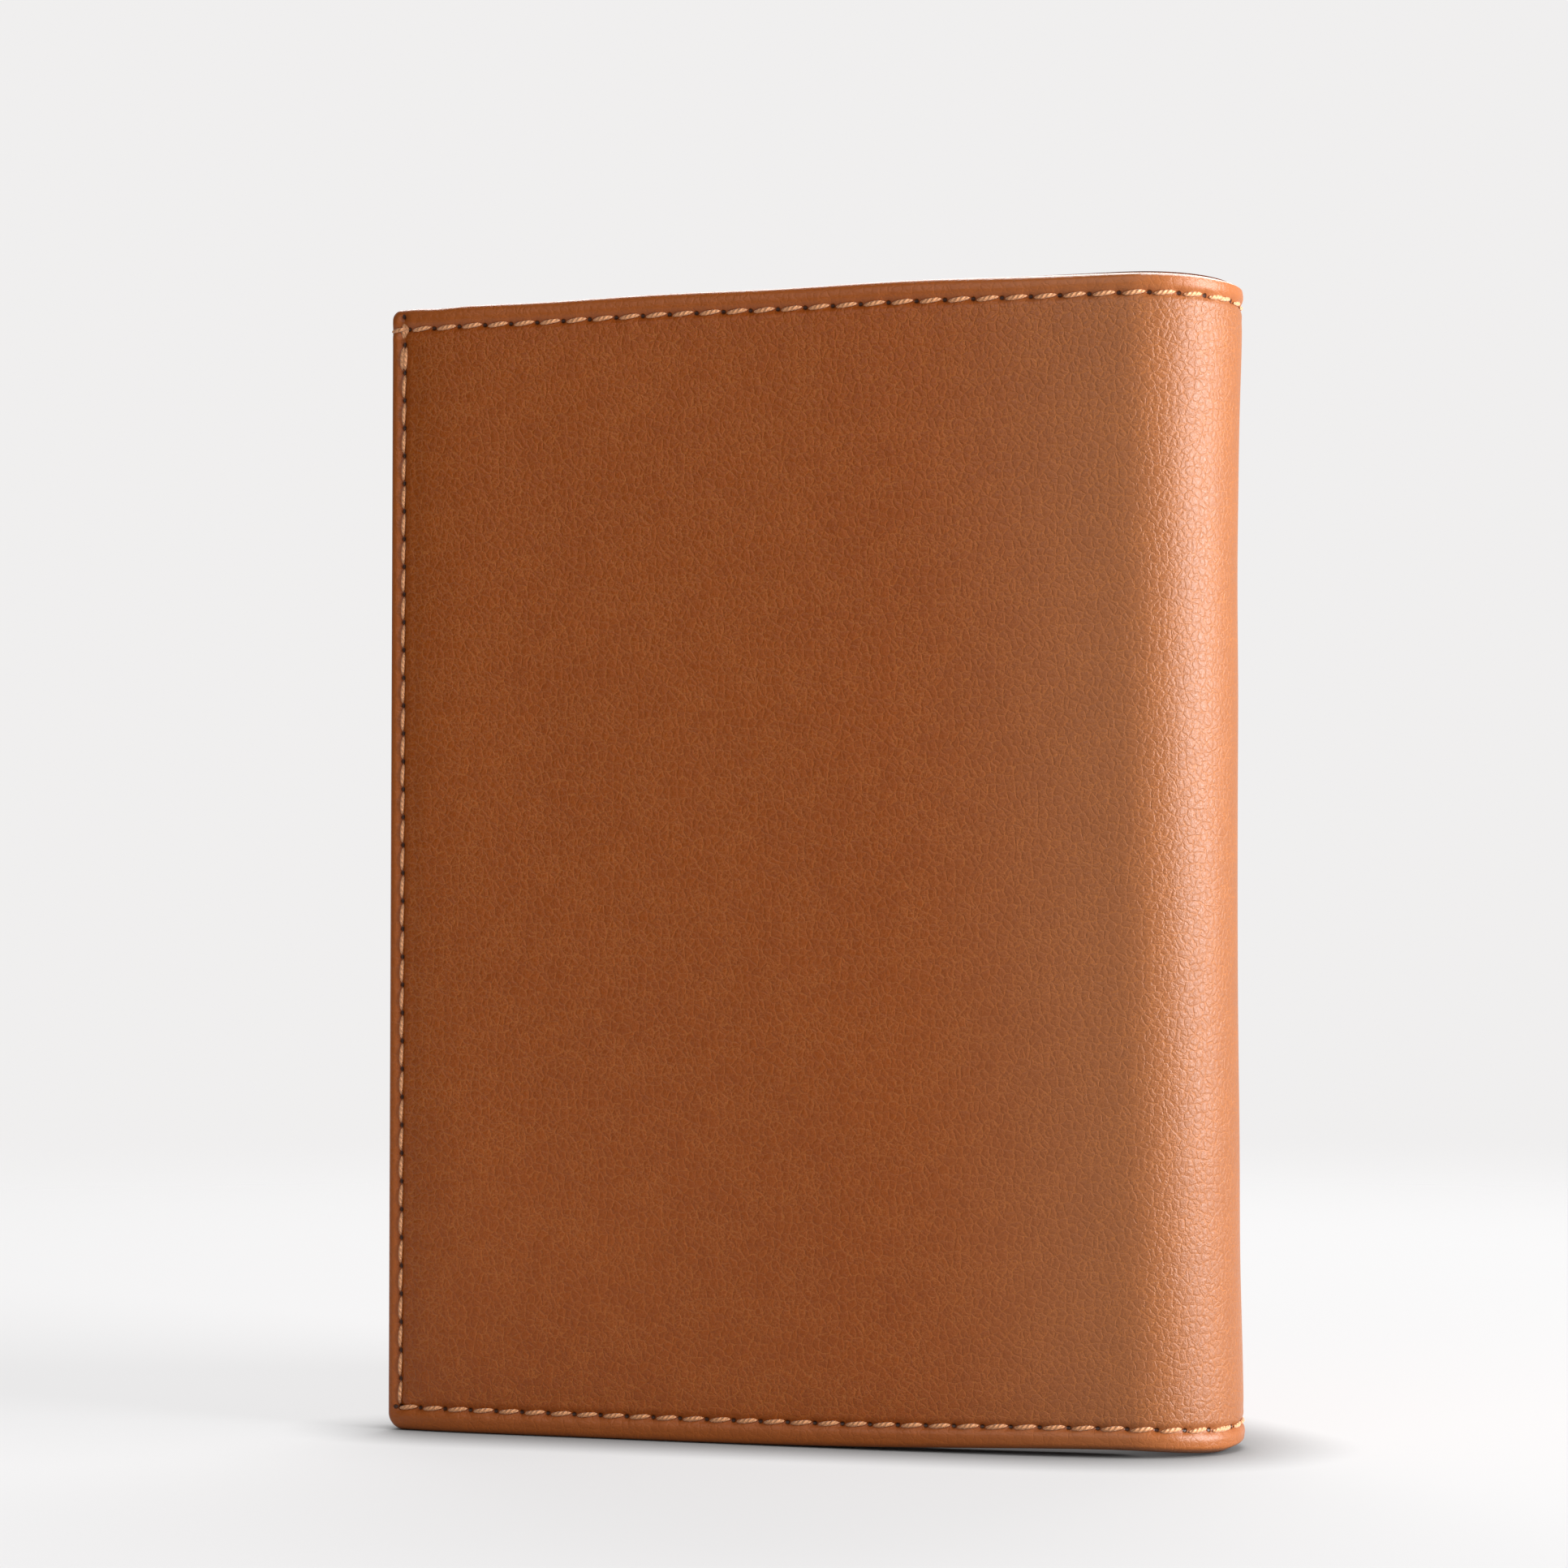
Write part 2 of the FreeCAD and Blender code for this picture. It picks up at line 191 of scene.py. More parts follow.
class WalletColours(bpy.types.PropertyGroup):
    """The colours that a user would change."""

    leather: bpy.props.FloatVectorProperty(
        name="Leather", description="Colour of the leather", default=(0.265, 0.055, 0.001), subtype="COLOR"
    )
    leather_deep: bpy.props.FloatVectorProperty(
        name="Deep leather", description="Colour between the veins", default=(0.2, 0.0375, 0.0005), subtype="COLOR"
    )
    leather_vein: bpy.props.FloatVectorProperty(
        name="Leather veins", description="Colour of the veins", default=(0.37, 0.122, 0.024), subtype="COLOR"
    )
    # Painted highlight: a lighter orange for the turned edges, standing in for the light that falls on the rim
    rim_painted_highlight: bpy.props.FloatVectorProperty(
        name="Leather rim", description="Colour of the turned edges", default=(0.32, 0.09, 0.018), subtype="COLOR"
    )
    # Painted sheen: a paler, less red colour towards the spine, standing in for the sheen of the light there
    spine_painted_sheen: bpy.props.FloatVectorProperty(
        name="Leather spine", description="Colour where the spine pulls the leather", default=(0.22, 0.076, 0.025), subtype="COLOR"
    )
    # Painted shade: the near-black colour inside each needle hole
    hole: bpy.props.FloatVectorProperty(
        name="Needle holes", description="Colour inside the needle holes", default=(0.03, 0.007, 0.002), subtype="COLOR"
    )
    thread: bpy.props.FloatVectorProperty(
        name="Thread", description="Colour of the thread", default=(0.66, 0.29, 0.12), subtype="COLOR"
    )
    lining: bpy.props.FloatVectorProperty(
        name="Lining", description="Colour of the lining", default=(0.15, 0.07, 0.03), subtype="COLOR"
    )
    board: bpy.props.FloatVectorProperty(
        name="Board", description="Colour of the board", default=(0.20, 0.11, 0.055), subtype="COLOR"
    )
    floor: bpy.props.FloatVectorProperty(
        name="Floor", description="Colour of the floor", default=(0.16, 0.159, 0.1595), subtype="COLOR"
    )
    surroundings: bpy.props.FloatVectorProperty(
        name="Surroundings", description="Colour behind the wallet", default=(0.872, 0.862, 0.86), subtype="COLOR"
    )


def smooth(x):
    """A soft step from 0 to 1 as x goes from 0 to 1."""
    x = np.clip(x, 0, 1)
    return x * x * (3 - 2 * x)


def bell(x, width):
    """A soft bump of height 1 round x = 0."""
    return np.exp(-np.square(x / width))


def case_curve():
    """The soft line of the outer face in plan: s, x, y and heading in radians."""
    s = np.linspace(0, CASE_LENGTH, CURVE_STEPS)
    middle = CASE_LENGTH / 2
    from_edge = np.minimum(s, CASE_LENGTH - s)
    heading = -EDGE_CURL * np.square(np.clip(1 - from_edge / CURL_LENGTH, 0, 1))
    heading += EASE_TURN * np.square(np.clip((from_edge - EASE_START) / (CORE_START - EASE_START), 0, 1))
    core = np.clip((from_edge - CORE_START) / (middle - CORE_START), 0, 1)
    heading += (REST_TURN / 2 - EASE_TURN) * core
    heading = np.where(s <= middle, heading, REST_TURN - heading)
    window = np.hanning(SOFTENING_STEPS)
    padded = np.pad(heading, SOFTENING_STEPS // 2, mode="edge")
    heading = np.radians(np.convolve(padded, window / window.sum(), "valid"))
    step = s[1] - s[0]
    between = (heading[1:] + heading[:-1]) / 2
    x = np.concatenate([[0], np.cumsum(np.cos(between) * step)])
    y = np.concatenate([[0], np.cumsum(np.sin(between) * step)])
    anchor = COVER_WIDTH / 2
    x += START[0] - anchor - np.interp(anchor, s, x)
    y += START[1] - np.interp(anchor, s, y)
    return s, x, y, heading


CURVE_S, CURVE_X, CURVE_Y, CURVE_HEADING = case_curve()


def case_points(s, d, z):
    """Places on the case, in metres."""
    heading = np.interp(s, CURVE_S, CURVE_HEADING)
    x = np.interp(s, CURVE_S, CURVE_X) - d * np.sin(heading)
    y = np.interp(s, CURVE_S, CURVE_Y) + d * np.cos(heading)
    return np.stack([x, y, z + 0 * x], axis=-1) * MM


def case_direction(s):
    """The unit vector along the case, and the one out of its outer face."""
    heading = float(np.interp(s, CURVE_S, CURVE_HEADING))
    along = Vector((math.cos(heading), math.sin(heading), 0))
    outward = Vector((math.sin(heading), -math.cos(heading), 0))
    return along, outward


def half_frame(side):
    """The corner of a half's own frame and its two directions in plan: along u and inwards."""
    if side == "back":
        return START, np.array([-1.0, 0.0]), np.array([0.0, 1.0])
    turn = math.radians(REST_TURN)
    reach = np.array([math.sin(turn), 1 - math.cos(turn)]) * SPINE_RADIUS
    return START + reach, np.array([math.cos(turn), math.sin(turn)]), np.array([-math.sin(turn), math.cos(turn)])


def case_bow(side, u):
    """How deep the soft outer face lies in a half's own frame, at a distance u from the spine."""
    corner, along, inward = half_frame(side)
    near = CURVE_S <= CASE_LENGTH / 2 if side == "back" else CURVE_S >= CASE_LENGTH / 2
    places = np.stack([CURVE_X[near], CURVE_Y[near]], axis=-1) - corner
    reach = places @ along
    depth = places @ inward
    order = np.argsort(reach)
    return np.interp(np.maximum(u, 0), reach[order], depth[order])


def half_points(side, u, d, z):
    """Places in a half's own frame, in metres."""
    corner, along, inward = half_frame(side)
    x = corner[0] + u * along[0] + d * inward[0]
    y = corner[1] + u * along[1] + d * inward[1]
    return np.stack([x, y, z + 0 * x], axis=-1) * MM


def undulation(s, z):
    """Slow uneven rise and fall of soft leather, about 1 at its highest."""
    waves = [
        (0.071, 0.043, 0.4, 0.34),
        (0.113, -0.067, 1.9, 0.26),
        (-0.052, 0.131, 3.1, 0.24),
        (0.231, 0.157, 0.9, 0.12),
        (0.083, -0.262, 2.2, 0.12),
        (0.413, -0.322, 4.4, 0.05),
    ]
    return sum(size * np.sin(a * s + b * z + start) for a, b, start, size in waves)


def seam_relief(along, off):
    """Rise of leather by a seam: along in pitches from a hole, off in millimetres from the seam's line."""
    pinch = 0.5 + 0.5 * np.cos(2 * np.pi * along)
    channel = -(CHANNEL_DEPTH + PINCH_DEPTH * pinch) * bell(off, CHANNEL_WIDTH)
    cheeks = CHEEK * (1 - 0.5 * pinch) * bell(np.abs(off) - 1.0, 0.5)
    return channel + cheeks


def case_relief(s, z):
    """How far the outer face stands out of its plain shape."""
    edge_s = np.minimum(s, CASE_LENGTH - s)
    top_off = z - (HEIGHT - HEM_INSET)
    low_off = z - CASE_INSET
    side_off = edge_s - SIDE_INSET
    relief = seam_relief((edge_s - HEM_FIRST_HOLE) / HEM_PITCH, top_off)
    low_share = smooth((edge_s - SIDE_INSET + 0.3) / 0.4)
    relief += low_share * seam_relief((edge_s - CASE_FIRST_HOLE) / CASE_PITCH, low_off)
    side_share = smooth((z - CASE_INSET + 0.3) / 0.4) * smooth((HEIGHT - SIDE_TOP + 0.3 - z) / 0.4)
    relief += side_share * seam_relief((z - CASE_INSET) / SIDE_PITCH, side_off)
    inner = np.minimum(np.minimum(-top_off, low_off), side_off)
    relief += BODY_SWELL * smooth((inner - 0.4) / 2.6) * (1 - 0.6 * smooth((inner - 4) / 16))
    relief += HEM_PUFF * bell(inner + 1.25, 0.75)
    relief += 0.12 * undulation(s, z) * smooth((inner - 0.5) / 7)
    spine = bell(edge_s - CASE_LENGTH / 2, 22.0)
    relief += spine * TOP_FLARE * np.exp(-(HEIGHT - z) / 17)
    relief += spine * LOW_FLARE * np.exp(-z / 9)
    return relief


def edge_shift(s, z):
    """How far the leather's edge stands out of its straight line, upwards."""
    edge_s = np.minimum(s, CASE_LENGTH - s)
    width = np.where(edge_s < EDGE_LIFT_PLACE, 26.0, 11.0)
    lift = EDGE_LIFT * bell(edge_s - EDGE_LIFT_PLACE, width) * np.square(np.clip(1 - z / 14, 0, 1))
    from_top = np.clip(1 - (HEIGHT - z) / 9, 0, 1)
    dip = TOP_DIP * bell(edge_s - TOP_DIP_PLACE, 2.6) * np.square(from_top)
    wave = 0.07 * np.sin(0.21 * s + 0.6) * from_top
    return lift - dip + wave


def corner_rounded(s, z):
    """Rounds the sheet's four corners. Returns the new s and z and the distance to the nearest edge."""
    from_end = np.minimum(s, CASE_LENGTH - s)
    from_level = np.minimum(z, HEIGHT - z)
    radius = np.where(z > HEIGHT / 2, TOP_CORNER, BOTTOM_CORNER)
    p = np.clip(1 - from_end / radius, 0, 1)
    q = np.clip(1 - from_level / radius, 0, 1)
    shift_s = radius * (p - p * np.sqrt(1 - q * q / 2))
    shift_z = radius * (q - q * np.sqrt(1 - p * p / 2))
    reach = np.sqrt(p * p + q * q - p * p * q * q)
    distance = np.where((p > 0) & (q > 0), radius * (1 - reach), np.minimum(from_end, from_level))
    s = s + np.where(s < CASE_LENGTH / 2, shift_s, -shift_s)
    z = z + np.where(z < HEIGHT / 2, shift_z, -shift_z)
    return s, z, np.maximum(distance, 0)


def rounding_drop(distance, radius):
    """How far a rounded rim has dropped at a distance from the edge."""
    inside = np.clip(radius - distance, 0, radius)
    return radius - np.sqrt(np.maximum(radius * radius - inside * inside, 0))


def outer_face(s, z):
    """Places on the outer face of the case, in metres, from a plain place on the sheet."""
    s, z, distance = corner_rounded(s, z)
    d = rounding_drop(distance, EDGE_ROUNDING) - case_relief(s, z) * smooth(distance / 0.6)
    return case_points(s, d, z + edge_shift(s, z))


def inner_face(s, z):
    """Places on the hidden face of the case leather, in metres."""
    s, z, distance = corner_rounded(s, z)
    turned = distance < TURN_IN_WIDTH
    d = np.where(turned, TURNED, LEATHER) - rounding_drop(distance, EDGE_ROUNDING)
    spine = bell(np.minimum(s, CASE_LENGTH - s) - CASE_LENGTH / 2, 22.0)
    d -= spine * (TOP_FLARE * np.exp(-(HEIGHT - z) / 17) + LOW_FLARE * np.exp(-z / 9)) * 0.7
    return case_points(s, d, z + edge_shift(s, z))


def spread(low, high, step):
    """Evenly spaced lines from low to high."""
    return np.linspace(low, high, max(2, round((high - low) / step) + 1))


def rim_lines(edge, inward):
    """Close lines at a rounded edge and across its seam, from the edge inwards."""
    angles = np.radians(np.arange(0, 91, 15))
    rim = EDGE_ROUNDING * (1 - np.cos(angles))
    seam = np.arange(1.1, 4.4, 0.24)
    return edge + inward * np.concatenate([rim, seam])


def border_lines(edge, inward):
    """Close lines where one stretch of the case meets the next, so that the shading runs on."""
    return edge + inward * np.array([0.0, 0.08, 0.2, 0.4, 0.7])


def joined_lines(first, last, step):
    """Two runs of close lines with evenly spaced lines between them."""
    first = np.sort(first)
    last = np.sort(last)
    middle = spread(first[-1], last[0], step)[1:-1]
    return np.concatenate([first, middle, last])


def slab(name, across, up, outer, inner):
    """A grid raised to a thin block, then shaped: outer and inner give the place of each point of its two faces."""
    bpy.ops.object.select_all(action="DESELECT")
    columns, rows = len(across), len(up)
    bpy.ops.mesh.primitive_grid_add(x_subdivisions=columns - 1, y_subdivisions=rows - 1, size=1)
    piece = bpy.context.active_object
    piece.name = name
    piece.data.name = name
    thickness = piece.modifiers.new("Thickness", "SOLIDIFY")
    thickness.thickness = 0.1
    thickness.offset = -1
    bpy.ops.object.modifier_apply(modifier=thickness.name)
    return shaped(piece, across, up, outer, inner)


def shaped(piece, across, up, outer, inner):
    """Moves each point of a raised grid to its place, and notes its place on the sheet for the materials."""
    mesh = piece.data
    places = np.empty(len(mesh.vertices) * 3)
    mesh.vertices.foreach_get("co", places)
    places = places.reshape(-1, 3)
    column = np.rint((places[:, 0] + 0.5) * (len(across) - 1)).astype(int)
    row = np.rint((places[:, 1] + 0.5) * (len(up) - 1)).astype(int)
    s = np.asarray(across)[column]
    z = np.asarray(up)[row]
    front = (places[:, 2] > -0.05)[:, None]
    moved = np.where(front, outer(s, z), inner(s, z))
    mesh.vertices.foreach_set("co", moved.ravel())
    sheet = mesh.attributes.new("sheet_mm", "FLOAT_VECTOR", "POINT")
    sheet.data.foreach_set("vector", np.stack([s, z, np.where(front[:, 0], 0.0, 1.0)], axis=-1).ravel())
    mesh.update()
    if signed_volume(mesh) < 0:
        mesh.flip_normals()
    bpy.ops.object.shade_smooth_by_angle(angle=math.radians(38))
    return piece


def signed_volume(mesh):
    """The volume that a closed mesh holds, negative if its faces point inwards."""
    mesh.calc_loop_triangles()
    corners = np.empty(len(mesh.loop_triangles) * 3, dtype=int)
    mesh.loop_triangles.foreach_get("vertices", corners)
    places = np.empty(len(mesh.vertices) * 3)
    mesh.vertices.foreach_get("co", places)
    a, b, c = np.moveaxis(places.reshape(-1, 3)[corners.reshape(-1, 3)], 1, 0)
    return float(np.einsum("ij,ij->i", a, np.cross(b, c)).sum() / 6)


# The stretches of the case, with the bodies that each lies on and the leather solids that it stands for
COVER_END = COVER_WIDTH - 4.8
STRETCHES = [
    ("back", 0.0, COVER_END, ["back_half"], ["back_cover"]),
    ("bend_1", COVER_END, COVER_WIDTH + SPINE_LENGTH / 4, BODIES[0:2], ["back_cover", "spine_leather_1"]),
    ("bend_2", COVER_WIDTH + SPINE_LENGTH / 4, CASE_LENGTH / 2, BODIES[1:3], ["spine_leather_1", "spine_leather_2"]),
    (
        "bend_3",
        CASE_LENGTH / 2,
        COVER_WIDTH + SPINE_LENGTH * 3 / 4,
        BODIES[2:4],
        ["spine_leather_2", "spine_leather_3"],
    ),
    (
        "bend_4",
        COVER_WIDTH + SPINE_LENGTH * 3 / 4,
        CASE_LENGTH - COVER_END,
        BODIES[3:5],
        ["spine_leather_3", "front_cover"],
    ),
    ("front", CASE_LENGTH - COVER_END, CASE_LENGTH, ["front_half"], ["front_cover"]),
]


def follow(piece, start, end, bodies):
    """Makes a piece ride on its body when it has one. A piece between two bodies, whose borders lie wholly on one or
    the other, is only fixed where it lies and does not bend.
    """
    if len(bodies) == 1:
        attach(piece, bodies[0])
        return
    depths = np.array([-TOP_FLARE, 0.0, LINED])
    first = case_points(np.full(3, start), depths, 0.0)
    last = case_points(np.full(3, end), depths, 0.0)
    line = last[1] - first[1]
    line = line / np.linalg.norm(line)
    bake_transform(piece)


def dress(piece, material, nodes):
    """Gives a piece its material and hides the nodes that it stands for."""
    piece.data.materials.clear()
    piece.data.materials.append(bpy.data.materials[material])
    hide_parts(*nodes)


def stretch_lines(start, end, step, rim):
    """The lines of a stretch along the case, close at a free edge and at a border."""
    first = rim_lines(start, 1) if start < rim else border_lines(start, 1)
    last = rim_lines(end, -1) if end > CASE_LENGTH - rim else border_lines(end, -1)
    return joined_lines(first, last, step)


# Node groups and materials


def new_group(name, inputs, outputs):
    """An empty node group with its inputs and outputs. Each socket is (name, kind, default)."""
    group = bpy.data.node_groups.new(name, "ShaderNodeTree")
    for socket, kind, default in inputs:
        made = group.interface.new_socket(name=socket, in_out="INPUT", socket_type=kind)
        if default is not None:
            made.default_value = default
    for socket, kind in outputs:
        group.interface.new_socket(name=socket, in_out="OUTPUT", socket_type=kind)
    source = group.nodes.new("NodeGroupInput")
    target = group.nodes.new("NodeGroupOutput")
    return group, source, target


class Wiring:
    """Short ways to add and join nodes in one tree."""

    def __init__(self, tree):
        self.tree = tree

    def put(self, value, socket):
        """Joins an output to a socket, or sets the socket's own value."""
        if isinstance(value, bpy.types.NodeSocket):
            self.tree.links.new(value, socket)
        elif value is not None:
            socket.default_value = value

    def math(self, operation, a, b=None, c=None, clamp=False):
        """One Math node."""
        node = self.tree.nodes.new("ShaderNodeMath")
        node.operation = operation
        node.use_clamp = clamp
        for value, socket in zip((a, b, c), node.inputs):
            self.put(value, socket)
        return node.outputs[0]

    def vector(self, operation, a, b=None, scale=None):
        """One Vector Math node."""
        node = self.tree.nodes.new("ShaderNodeVectorMath")
        node.operation = operation
        self.put(a, node.inputs[0])
        self.put(b, node.inputs[1])
        if scale is not None:
            self.put(scale, node.inputs["Scale"])
        return node.outputs[0]

    def split(self, vector):
        """The three parts of a vector."""
        node = self.tree.nodes.new("ShaderNodeSeparateXYZ")
        self.put(vector, node.inputs[0])
        return node.outputs[0], node.outputs[1], node.outputs[2]

    def joined(self, x, y, z=0.0):
        """A vector from three parts."""
        node = self.tree.nodes.new("ShaderNodeCombineXYZ")
        for value, socket in zip((x, y, z), node.inputs):
            self.put(value, socket)
        return node.outputs[0]

    def noise(self, vector, scale, detail=2.0, roughness=0.5, colour=False):
        """One Noise Texture."""
        node = self.tree.nodes.new("ShaderNodeTexNoise")
        self.put(vector, node.inputs["Vector"])
        self.put(scale, node.inputs["Scale"])
        self.put(detail, node.inputs["Detail"])
        self.put(roughness, node.inputs["Roughness"])
        return node.outputs["Color" if colour else "Fac"]

    def cells(self, vector, scale, feature="DISTANCE_TO_EDGE", randomness=1.0):
        """One Voronoi Texture in two dimensions."""
        node = self.tree.nodes.new("ShaderNodeTexVoronoi")
        node.voronoi_dimensions = "2D"
        node.feature = feature
        self.put(vector, node.inputs["Vector"])
        self.put(scale, node.inputs["Scale"])
        self.put(randomness, node.inputs["Randomness"])
        return node

    def step(self, value, low, high, to_low=0.0, to_high=1.0):
        """One Map Range node with a soft step."""
        node = self.tree.nodes.new("ShaderNodeMapRange")
        node.interpolation_type = "SMOOTHSTEP"
        for given, socket in zip((value, low, high, to_low, to_high), node.inputs):
            self.put(given, socket)
        return node.outputs[0]

    def mix(self, share, a, b):
        """One Mix node for colours."""
        node = self.tree.nodes.new("ShaderNodeMix")
        node.data_type = "RGBA"
        self.put(share, node.inputs[0])
        self.put(a, node.inputs[6])
        self.put(b, node.inputs[7])
        return node.outputs[2]

    def sheet(self):
        """The place on the sheet, in millimetres."""
        node = self.tree.nodes.new("ShaderNodeAttribute")
        node.attribute_name = "sheet_mm"
        return node.outputs["Vector"]

    def group(self, group, **values):
        """One placed node group, with its inputs."""
        node = self.tree.nodes.new("ShaderNodeGroup")
        node.node_tree = group
        for name, value in values.items():
            self.put(value, node.inputs[name.replace("_", " ")])
        return node


def grain_group():
    """Leather grain: veins between irregular cells of two sizes, and the tone of each cell."""
    group, source, target = new_group(
        "Leather grain",
        [
            ("Place", "NodeSocketVector", None),
            ("Large cell", "NodeSocketFloat", 1.5),
            ("Small cell", "NodeSocketFloat", 0.66),
            ("Vein", "NodeSocketFloat", 0.11),
        ],
        [("Veins", "NodeSocketFloat"), ("Tone", "NodeSocketFloat"), ("Height", "NodeSocketFloat")],
    )
    w = Wiring(group)
    place = source.outputs["Place"]
    warp = w.vector("SUBTRACT", w.noise(place, 1.1, 4.0, 0.65, colour=True), (0.5, 0.5, 0.5))
    bent = w.vector("ADD", place, w.vector("SCALE", warp, scale=1.1))
    large_scale = w.math("DIVIDE", 1.0, source.outputs["Large cell"])
    small_scale = w.math("DIVIDE", 1.0, source.outputs["Small cell"])
    large = w.cells(bent, large_scale)
    small = w.cells(bent, small_scale)
    large_edge = w.math("DIVIDE", large.outputs["Distance"], large_scale)
    small_edge = w.math("DIVIDE", small.outputs["Distance"], small_scale)
    vein = source.outputs["Vein"]
    large_vein = w.step(large_edge, 0.0, vein, 1.0, 0.0)
    small_vein = w.step(small_edge, 0.0, w.math("MULTIPLY", vein, 0.7), 1.0, 0.0)
    patches = w.step(w.noise(place, 0.22, 2.0), 0.42, 0.6)
    breaks = w.step(w.noise(place, 0.9, 3.0, 0.6), 0.3, 0.62)
    large_share = w.math("MULTIPLY", large_vein, w.math("MULTIPLY_ADD", breaks, 0.7, 0.3))
    small_share = w.math("MULTIPLY", small_vein, w.math("MULTIPLY_ADD", patches, 0.5, 0.35))
    veins = w.math("MAXIMUM", large_share, small_share, clamp=True)
    tone = w.cells(bent, large_scale, feature="F1")
    grey = group.nodes.new("ShaderNodeSeparateColor")
    w.put(tone.outputs["Color"], grey.inputs[0])
    crease = w.math("MULTIPLY", w.step(large_edge, 0.0, 0.16), 0.8)
    dome = w.math("MULTIPLY", w.step(large_edge, 0.0, 0.5), 0.5)
    fine_crease = w.math("MULTIPLY", w.step(small_edge, 0.0, 0.1), 0.4)
    pores = w.math("MULTIPLY", w.noise(place, 6.0, 3.0), 0.3)
    height = w.math("ADD", w.math("ADD", w.math("ADD", crease, dome), fine_crease), pores)
    w.put(veins, target.inputs["Veins"])
    w.put(grey.outputs[0], target.inputs["Tone"])
    w.put(height, target.inputs["Height"])
    return group


def hole_group():
    """Needle holes along one seam, from the place on the sheet: a mask of each hole, which is painted near-black as
    shade, and a wider mask for the painted shade round it.
    """
    group, source, target = new_group(
        "Needle holes",
        [
            ("Along", "NodeSocketFloat", 0.0),
            ("Off", "NodeSocketFloat", 0.0),
            ("First", "NodeSocketFloat", 0.0),
            ("Pitch", "NodeSocketFloat", 3.3),
        ],
        [("Mask", "NodeSocketFloat"), ("Shade", "NodeSocketFloat")],
    )
    w = Wiring(group)
    pitches = w.math("DIVIDE", w.math("SUBTRACT", source.outputs["Along"], source.outputs["First"]), source.outputs["Pitch"])
    nearest = w.math("SUBTRACT", pitches, w.math("ROUND", pitches))
    along = w.math("MULTIPLY", nearest, source.outputs["Pitch"])
    across = w.math("MULTIPLY", source.outputs["Off"], 1.15)
    distance = w.math("SQRT", w.math("ADD", w.math("MULTIPLY", along, along), w.math("MULTIPLY", across, across)))
    w.put(w.step(distance, 0.18, 0.38, 1.0, 0.0), target.inputs["Mask"])
    w.put(w.step(distance, 0.2, 1.0, 1.0, 0.0), target.inputs["Shade"])
    return group


def new_material(name):
    """A material with its Principled shader, and the wiring of its nodes."""
    material = bpy.data.materials.new(name)
    material.use_nodes = True
    shader = material.node_tree.nodes["Principled BSDF"]
    return material, shader, Wiring(material.node_tree)


def add_bump(wiring, shader, height, strength, distance):
    """A Bump node that feeds the shader's normal."""
    bump = wiring.tree.nodes.new("ShaderNodeBump")
    bump.inputs["Strength"].default_value = strength
    bump.inputs["Distance"].default_value = distance
    wiring.put(height, bump.inputs["Height"])
    wiring.put(bump.outputs[0], shader.inputs["Normal"])
    return bump


def colour(value):
    """A colour property as the four numbers that a socket takes."""
    return (value[0], value[1], value[2], 1.0)


